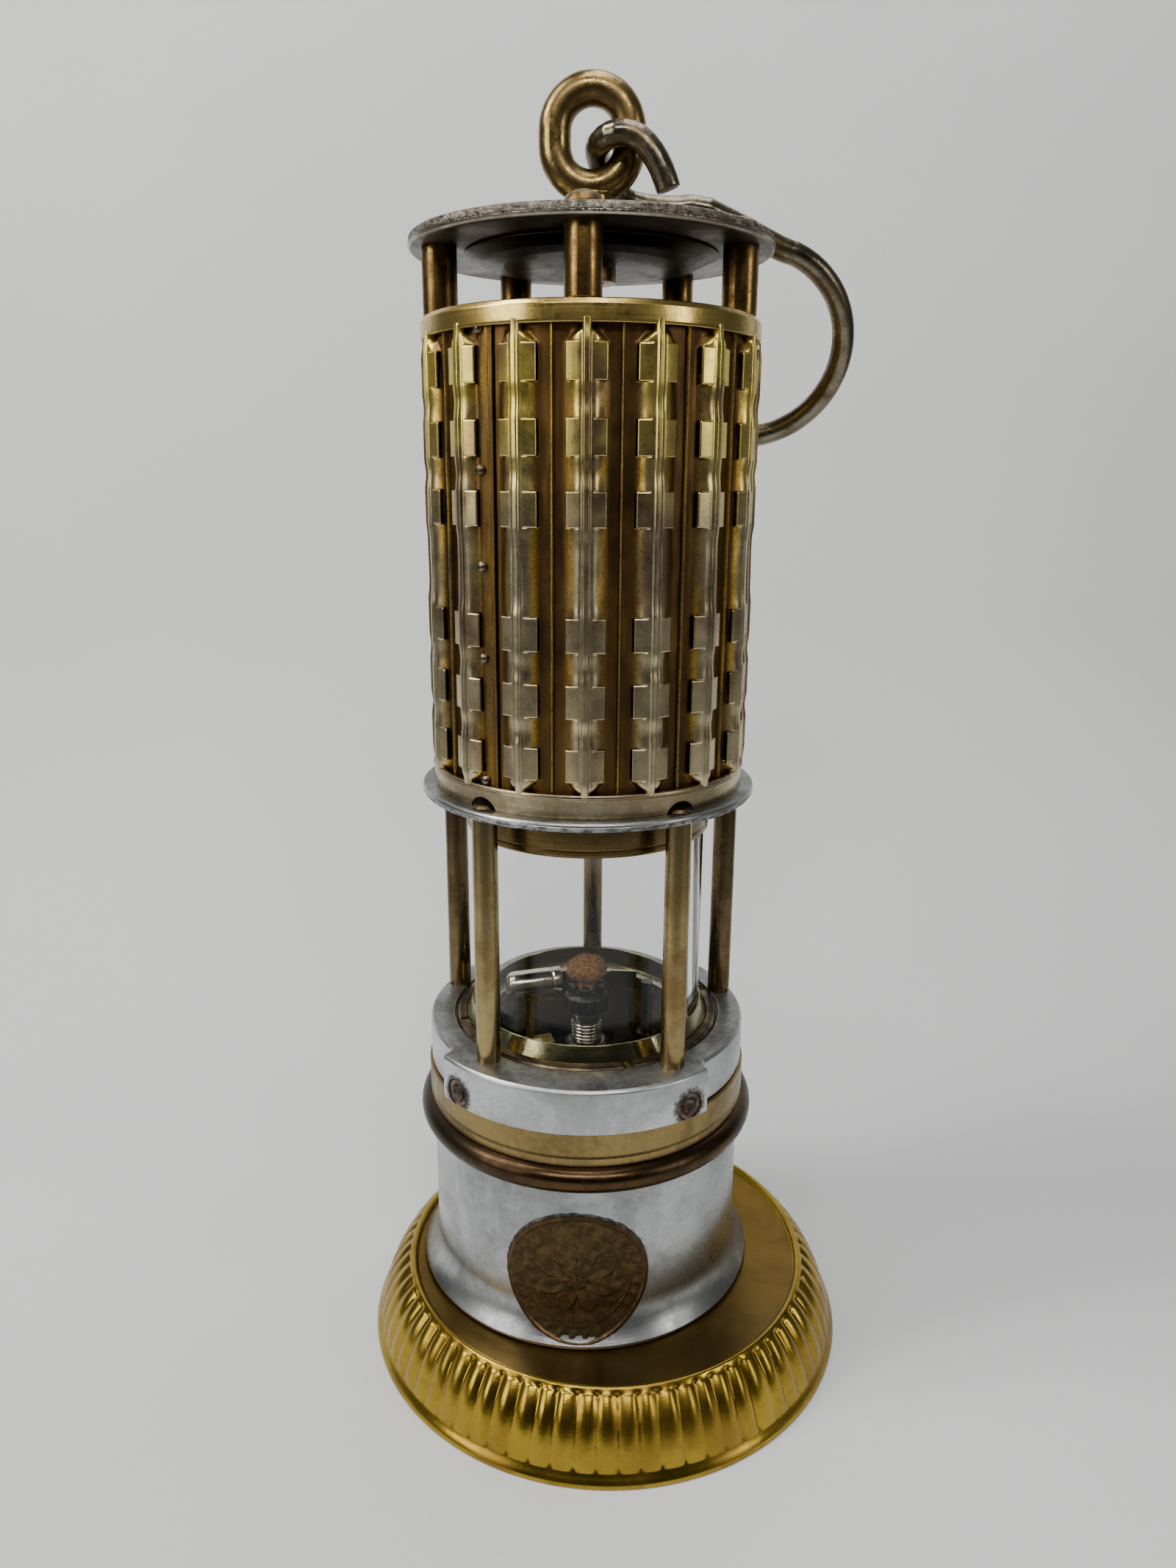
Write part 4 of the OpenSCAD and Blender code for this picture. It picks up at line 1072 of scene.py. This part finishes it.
def bonnet_sheet():
    across = [0.0, 0.3, 0.5, 0.64, 0.78, 0.92, 1.12, 1.4, 1.75, 2.1, 2.5, 2.9, 3.3, 3.7, 4.1, WING, 4.8, 5.2,
              5.8, 6.55, 6.9, *(HALF_COLUMN - d for d in (0.48, 0.3, 0.12, 0))]
    across = [-s for s in reversed(across[1:])] + across
    ups = {bonnet_z + 0.02, bonnet_top - 2.1}
    for z in ROWS:
        ups |= {z, z + ROW_H}
        for d in (0.3, 0.6, 1.0, 1.5, 2.0, 2.6):
            ups |= {z - d, z + ROW_H + d}
        for d in (0.35, 1.5, 3.7, 5.9, ROW_H - 0.35):
            ups.add(z + d)
    for k in range(14):
        ups |= {ROWS[0] + ROW_H + 0.4 * k, ROWS[-1] - 0.4 * k}
    ups = sorted(u for u in ups if bonnet_z < u < bonnet_top - 2)
    filled = [ups[0]]
    for u in ups[1:]:
        gap = u - filled[-1]
        parts = max(1, ceil(gap / 1.3))
        filled += [filled[-1] + gap * (i + 1) / parts for i in range(parts)]
    corners, cells = {}, []
    verts = []

    def corner(column, s, z, r):
        key = (round(s + column * 2 * HALF_COLUMN, 3) % round(32 * HALF_COLUMN, 3), round(z, 3), round(r, 3))
        if key not in corners:
            angle = CREST_AT + column * 2 * pi / COLUMNS + s / HALF_COLUMN * pi / COLUMNS
            corners[key] = len(verts)
            verts.append((r * sin(angle), -r * cos(angle), z))
        return corners[key]

    def state(s, z, column, in_row, wing):
        below = low_r(s, z, column)
        if in_row:
            return tab_r(s) if wing else below
        away = min(min(abs(z - row), abs(z - row - ROW_H)) for row in ROWS)
        share = (1 - smooth(away / 3.6)) * (1 - smooth((abs(s) - 1.4) / 2.4))
        return below + max(0.0, tab_r(s) - below) * share

    for column in range(COLUMNS):
        for i in range(len(across) - 1):
            s0, s1 = across[i], across[i + 1]
            wing = abs(s0 + s1) / 2 < WING
            seam0 = s0 + 1e-4 if column == SEAM_RIGHT and abs(s0 + 6.55) < 1e-6 else s0
            seam1 = s1 - 1e-4 if column == SEAM_RIGHT and abs(s1 + 6.55) < 1e-6 else s1
            for j in range(len(filled) - 1):
                z0, z1 = filled[j], filled[j + 1]
                mid = (z0 + z1) / 2
                in_row = any(row < mid < row + ROW_H for row in ROWS)
                quad = []
                for s, z in ((seam0, z0), (seam1, z0), (seam1, z1), (seam0, z1)):
                    quad.append(corner(column, s, z, state(s, z, column, in_row, wing)))
                if len(set(quad)) > 2:
                    cells.append(quad)
    obj = make("bonnet_pressed", verts, cells, "frame", "bonnet_metal", ("bonnet",), sharp=50)
    shape = bmesh.new()
    shape.from_mesh(obj.data)
    shape.normal_update()
    for face in shape.faces:
        middle_point = face.calc_center_median() / MM - AXIS
        outward = Vector((middle_point.x, middle_point.y, 0))
        if face.normal.dot(outward) < 0:
            face.normal_flip()
    shape.to_mesh(obj.data)
    shape.free()
    for polygon in obj.data.polygons:
        polygon.use_smooth = True
    thick = obj.modifiers.new("sheet", "SOLIDIFY")
    thick.thickness = 0.45 * MM
    thick.offset = -1


bonnet_sheet()

seam_rivets = []
seam_az = radians(-35.6)
for drop in (4.9, 33.1, 53.4, 73.5, 101.6):
    profile = [(0, -0.6), (1.25, -0.6), (1.25, 0.1, 0.2), (1.05, 0.55, 0.3), (0.55, 0.95, 0.3), (0, 1.05)]
    seam_rivets.append(placed(profile, at(seam_az, VALLEY_R + 0.85, bonnet_top - drop), at(seam_az, 1), 24))
several("bonnet_seam_rivets", seam_rivets, "frame", "bonnet_metal", ("bonnet_rivets",), "hook_nickel")

lip_r = radius("bonnet_top_band")
lip_z = low("bonnet_top_band").z
lathe("bonnet_head_band", [
    *near(lip_r, lip_z, (-1.4, 0, 0.2), (-0.1, 0, 0.25), (0, 0.6, 0.2)),
    *near(lip_r, bonnet_top, (0, -1.1, 0.6), (-0.7, 0, 0.5), (-1.4, 0, 0.2))],
    "frame", "band_brass", ("bonnet_top_band",), segments=256)

# ---- crown ----

rods = []
for angle in TOP_POSTS:
    profile = [(0, bonnet_top - 0.01), (3.9, bonnet_top - 0.01, 0.25), (3.9, crown_z, 0.2), (0, crown_z)]
    rods.append(upright(profile, angle, UPPER_PCR))
several("upper_pillar_rods", rods, "frame", "upper_brass", ("upper_pillars",))

crown_r = radius("crown_plate")
shank_r = 3.08
rim = near(crown_r, crown_z, (-1.1, 0), (-0.55, 0.12), (-0.12, 0.5), (0, 0.95))
for i in range(1, 9):
    rim.append((crown_r - 0.25 * (i / 8) ** 2, crown_z + 0.95 + 1.6 * i / 8))
plate = [(shank_r, crown_z), *rim, (crown_r - 0.7, crown_top), (crown_r - 4, crown_top), (21, crown_top),
         (17, crown_top + 0.7), *near(0, boss_top, (13.5, -0.9), (11.5, -0.2), (9, 0)),
         (shank_r + 0.3, boss_top), (shank_r, boss_top - 0.3)]
warp = rough_edge(9, 0.3, crown_z + 1.1, crown_top + 0.1, crown_r - 0.6)
verts, faces = lathe_mesh(plate, 1080, warp)
make("crown_disc", verts, faces, "frame", "crown_nickel", ("crown_plate",), sharp=40)
heads = []
for angle in TOP_POSTS:
    profile = [(0, crown_z + 0.5), (2, crown_z + 0.5),
               *near(0, crown_top, (2, -0.01), (4.25, -0.01, 0.2), (4.2, 0.7, 0.4), (3.4, 1.9, 0.8),
                     (1.8, 2.85, 0.8), (0, 3.0))]
    heads.append(upright(profile, angle, UPPER_PCR, 40))
several("crown_rivet_heads", heads, "frame", "upper_brass", ("crown_rivets",))
shield_z = low("heat_shield").z
shield_r = radius("heat_shield")
lathe("heat_shield_dish", [
    (shank_r, shield_z), *near(shield_r, shield_z, (-9, 0, 1.0), (-4, 0.5, 1.5)),
    *near(shield_r, crown_z, (-0.6, -0.75, 0.3), (0, -0.4, 0.2), (-0.3, -0.02, 0.1), (-1.2, -0.02)),
    *near(shield_r, shield_z, (-4.6, 1.35), (-9, 1.0)), (shank_r, shield_z + 1.0)],
    "frame", "soot_steel", ("heat_shield",))

# ---- eye and hook ----


def softened(name, node, body, slot, voxel, passes, more=()):
    """The CAD node's own shape, closed over and smoothed as forged wire is."""
    source = frame["nodes"][node]
    shape = bmesh.new()
    shape.from_mesh(source.data)
    for points, cells in more:
        made = [shape.verts.new((Vector(p) + AXIS) * MM) for p in points]
        for cell in cells:
            shape.faces.new([made[i] for i in cell])
    bmesh.ops.recalc_face_normals(shape, faces=shape.faces)
    obj = from_shape(name, shape)
    step = obj.modifiers.new("remesh", "REMESH")
    step.mode = "VOXEL"
    step.voxel_size = voxel * MM
    calm = obj.modifiers.new("smooth", "SMOOTH")
    calm.factor = 0.5
    calm.iterations = passes
    bake(obj)
    finish_piece(obj, body, slot, (node,), sharp=60)


neck_low = boss_top + 0.3
braze = [lathe_mesh(rounded(near(0, neck_low, (0, 0), (4.9, 0, 0.3), (4.95, 1.2, 0.4), (4.2, 2.4, 0.8),
                                 (3.5, 4.2, 1.0), (3.9, 6.2, 0.5), (0, 7.0))), 48)]
softened("eye_forged", "eye", "swivel", "eye_brass", 0.3, 6, braze)
softened("hook_bent_wire", "hook", "hook", "hook_nickel", 0.3, 4)

# ---- burner ----

deck = high("fount_deck").z
cap_z, cap_top = low("burner_cap").z, high("burner_cap").z
cap_r = radius("burner_cap")
tube_r = 3.4


def knurled_cap():
    profile = [(tube_r, cap_z),
               *near(cap_r, cap_z, (-0.4, 0, 0.2), (0, 0.5, 0.2), (0, 4.2, 0.2), (-0.5, 4.7, 0.2),
                     (-1.0, 5.1, 0.2)),
               *near(cap_r, cap_top, (-1.1, -0.4, 0.2), (-1.5, 0, 0.2)),
               (2.95, cap_top, 0.2), (2.95, cap_z + 1.3), (tube_r, cap_z + 1.3)]

    def knurl(r, angle, z):
        if r > cap_r - 0.3 and cap_z + 0.4 < z < cap_z + 4.4:
            r -= 0.22 * (0.5 + 0.5 * cos(angle * 44))
        return r, z
    cap = lathe("burner_cap_knurled", profile, "fount", "steel_dark", ("burner_cap",), "cap_black",
                segments=352, warp=knurl)
    sixths = [radians(30 + 60 * k) for k in range(6)]
    cut(cap, *[plug(at(a, 1.5, cap_top - 0.2), at(a, 1), 1.0, 6, 16) for a in sixths])


knurled_cap()
coil = [(tube_r - 0.2, deck + 4), (tube_r + 0.25, deck + 4)]
for i in range(5):
    z = deck + 5.0 + i * 0.95
    for k in range(7):
        a = radians(-90 + 30 * k)
        coil.append((tube_r + 0.3 + 0.42 * cos(a), z + 0.42 * sin(a)))
coil += near(tube_r, cap_z, (0.3, -2.6), (0.75, -2.4, 0.1), (0.75, -0.02), (-0.2, -0.02))
lathe("burner_sleeve_rings", coil, "fount", "nickel", ("burner_sleeve",), segments=64, sharp=50)
base_r = radius("burner_base")
lathe("burner_foot", [(tube_r, deck), *near(base_r, deck, (0, 0, 0.1), (0, 1.0, 0.2), (-0.5, 1.5, 0.2),
                                            (-0.5, 3.3, 0.3), (-1.2, 4, 0.3)), (tube_r, deck + 4)],
      "fount", "steel_dark", ("burner_base",), segments=72)


def wick_piece():
    """A charred cotton bloom: a lumpy head on the wick's cord, with loose fibres."""
    random.seed(11)
    bloom, top = cap_top + 0.5, high("wick").z
    foot = low("wick").z
    mid = (bloom + top) / 2 - 0.55
    verts = []
    rows, spokes = 26, 56
    for i in range(rows + 1):
        lat = -pi / 2 + pi * i / rows
        for k in range(spokes):
            lon = 2 * pi * k / spokes
            d = Vector((cos(lat) * cos(lon), cos(lat) * sin(lon), sin(lat)))
            lump = 1 + 0.13 * noise.noise(d * 2.1) + 0.10 * noise.noise(d * 6) + 0.05 * noise.noise(d * 15)
            verts.append((5.1 * d.x * lump, 4.9 * d.y * lump, mid + 3.35 * d.z * lump))
    faces = quads(rows + 1, spokes)
    start = len(verts)
    more, cells = lathe_mesh([(0, foot), (2.35, foot), (2.4, bloom + 0.5), (0, bloom + 0.8)], 32)
    verts += more
    faces += [[start + i for i in cell] for cell in cells]
    for _ in range(1500):
        d = Vector((random.gauss(0, 1), random.gauss(0, 1), random.gauss(0.2, 1))).normalized()
        lump = 1 + 0.13 * noise.noise(d * 2.1) + 0.10 * noise.noise(d * 6)
        root = Vector((5.05 * d.x * lump, 4.85 * d.y * lump, 3.3 * d.z * lump + mid))
        side = Vector((random.gauss(0, 1), random.gauss(0, 1), random.gauss(0, 1))).cross(d).normalized()
        length = random.uniform(0.5, 1.3)
        bend = side * random.uniform(-0.7, 0.7)
        thick = d.cross(side) * 0.045
        a, b = root - d * 0.3, root + d * length * 0.5 + bend * 0.25
        tip = root + d * length * 0.75 + bend
        tip = Vector((tip.x, tip.y, min(tip.z, top - 0.02)))
        start = len(verts)
        verts += [a - thick, a + thick, b + thick * 0.8, b - thick * 0.8, tip]
        faces += [[start, start + 1, start + 2, start + 3], [start + 3, start + 2, start + 4]]
    make("wick_bloom", verts, faces, "wick_lift", "wick_cotton", ("wick",), sharp=180)


wick_piece()

barrel_z = middle("flint_barrel").z
barrel_dir = Vector((cos(radians(18)), sin(radians(18)), 0))
points, cells = placed(
    [(0, 0), (2.2, 0, 0.4), (3.1, 0.7, 0.5), (3.5, 2, 0.5), (3.5, 12.2, 0.1), (3.25, 12.5, 0.1),
     (3.5, 12.9, 0.1), (3.5, 15, 0.2), (1.3, 15), (1.3, 7), (0, 7)],
    Vector((-22, 1.8, barrel_z)), barrel_dir, 48)
make("flint_barrel_tube", points, cells, "fount", "ring_brass", ("flint_barrel",), "barrel_nickel")

frame["nodes"]["fount_deck"].data.materials[0] = M["deck_black"]
for name in ("barrel_bracket", "burner_bracket", "deck_nut", "deck_post", "wick_carrier", "wick_knob",
             "relighter_knob", "filler_plug", "fount_base", "bonnet_lid", "eye_nut", "wick_screw"):
    soften = frame["nodes"][name].modifiers.new("edge", "BEVEL")
    soften.width = 0.15 * MM
    soften.segments = 2
    soften.limit_method = "ANGLE"
    soften.angle_limit = radians(40)
    soften.harden_normals = False

# ---- stage: seamless paper and soft light ----


def paper():
    """Pale seamless paper, painted dark grey away from the lamp as a painted falloff of light, which also
    darkens what the lamp reflects. Its back is clear, so the lamp can be looked at from behind it.
    """
    n = Nodes("paper_mat", Vector((0, 0, 0)))
    fleck = n.noise(420, 5, 0.6)
    broad = n.noise(3.0, 3, 0.5)
    colour = n.mix(n.mask(broad, 0.3, 0.7), (0.64, 0.655, 0.65), (0.70, 0.715, 0.71))
    colour = n.mix(n.times(n.mask(fleck, 0.45, 0.7), 0.06), colour, (0.5, 0.5, 0.5))
    x, y = n.parts()[:2]
    # painted falloff of light: the paper turns dark grey away from the lamp, at the sides and in front
    beside = n.mask(n.math("ABSOLUTE", x), 0.34, 0.60)
    ahead = n.mask(n.times(y, -1.0), 0.24, 0.46)
    far = n.math("MAXIMUM", beside, ahead)
    colour = n.mix(far, colour, (0.16, 0.165, 0.165))
    side = n.add("ShaderNodeNewGeometry")
    n.link(n.rest(side.outputs["Backfacing"]), n.shader.inputs["Alpha"])
    return n.done(colour, 0.75, n.bump(fleck, 0.0003, 0.2), metal=0.0)


def backdrop():
    """The paper's sheet: level to a bend, then leaning up behind the lamp, in metres."""
    bend_at, bend_r, tall, wide = 0.085, 0.20, 1.3, 1.6
    slope = radians(80)
    path = [(-1.3, 0.0), (bend_at, 0.0)]
    for k in range(1, 25):
        a = slope * k / 24
        path.append((bend_at + bend_r * sin(a), bend_r * (1 - cos(a))))
    last = path[-1]
    path.append((last[0] + tall * cos(slope), last[1] + tall * sin(slope)))
    verts, faces = [], []
    for y, z in path:
        verts += [(-wide, y, z), (wide, y, z)]
    for i in range(len(path) - 1):
        faces.append((2 * i, 2 * i + 1, 2 * i + 3, 2 * i + 2))
    mesh = bpy.data.meshes.new("seamless_paper")
    mesh.from_pydata(verts, [], faces)
    for polygon in mesh.polygons:
        polygon.use_smooth = True
    obj = add_object("seamless_paper", mesh)
    obj.data.materials.append(paper())


backdrop()


def area(name, place, aim, size, power, colour):
    data = bpy.data.lights.new(name, "AREA")
    data.shape = "RECTANGLE"
    data.size, data.size_y = size
    data.energy = power
    data.color = colour
    obj = add_object(name, data)
    obj.location = place
    obj.rotation_euler = (Vector(aim) - Vector(place)).to_track_quat("-Z", "Y").to_euler()


area("key_left", (-0.55, -0.15, 0.78), (0, 0, 0.08), (0.22, 0.5), 4.9, (1.0, 0.985, 0.96))
area("overhead", (0.08, -0.02, 1.05), (0, 0, 0.1), (0.8, 0.35), 4.2, (0.98, 0.99, 1.0))
area("ceiling_front", (0.0, -0.74, 0.82), (0, 0, 0.1), (0.8, 0.15), 4.5, (1.0, 0.99, 0.95))
area("window_left", (-0.87, -0.63, 0.50), (0, 0, 0.2), (0.50, 0.46), 2.9, (1.0, 0.98, 0.93))
area("window_right", (0.94, -0.52, 0.50), (0, 0, 0.2), (0.22, 0.46), 1.9, (1.0, 0.98, 0.93))


def studio():
    """A dim room about the lamp, darker on the side of the camera."""
    world = bpy.data.worlds.new("studio")
    bpy.context.scene.world = world
    world.use_nodes = True
    sky = world.node_tree
    back = sky.nodes["Background"]
    back.inputs[1].default_value = 1.0
    way = sky.nodes.new("ShaderNodeTexCoord")
    split = sky.nodes.new("ShaderNodeSeparateXYZ")
    sky.links.new(way.outputs["Generated"], split.inputs[0])
    fade = sky.nodes.new("ShaderNodeMapRange")
    fade.interpolation_type = "SMOOTHSTEP"
    sky.links.new(split.outputs[1], fade.inputs["Value"])
    fade.inputs["From Min"].default_value = -0.75
    fade.inputs["From Max"].default_value = 0.35
    tone = sky.nodes.new("ShaderNodeValToRGB")
    sky.links.new(fade.outputs[0], tone.inputs[0])
    tone.color_ramp.elements[0].color = (0.02, 0.021, 0.023, 1)
    tone.color_ramp.elements[1].color = (0.13, 0.138, 0.14, 1)
    sky.links.new(tone.outputs[0], back.inputs[0])


studio()
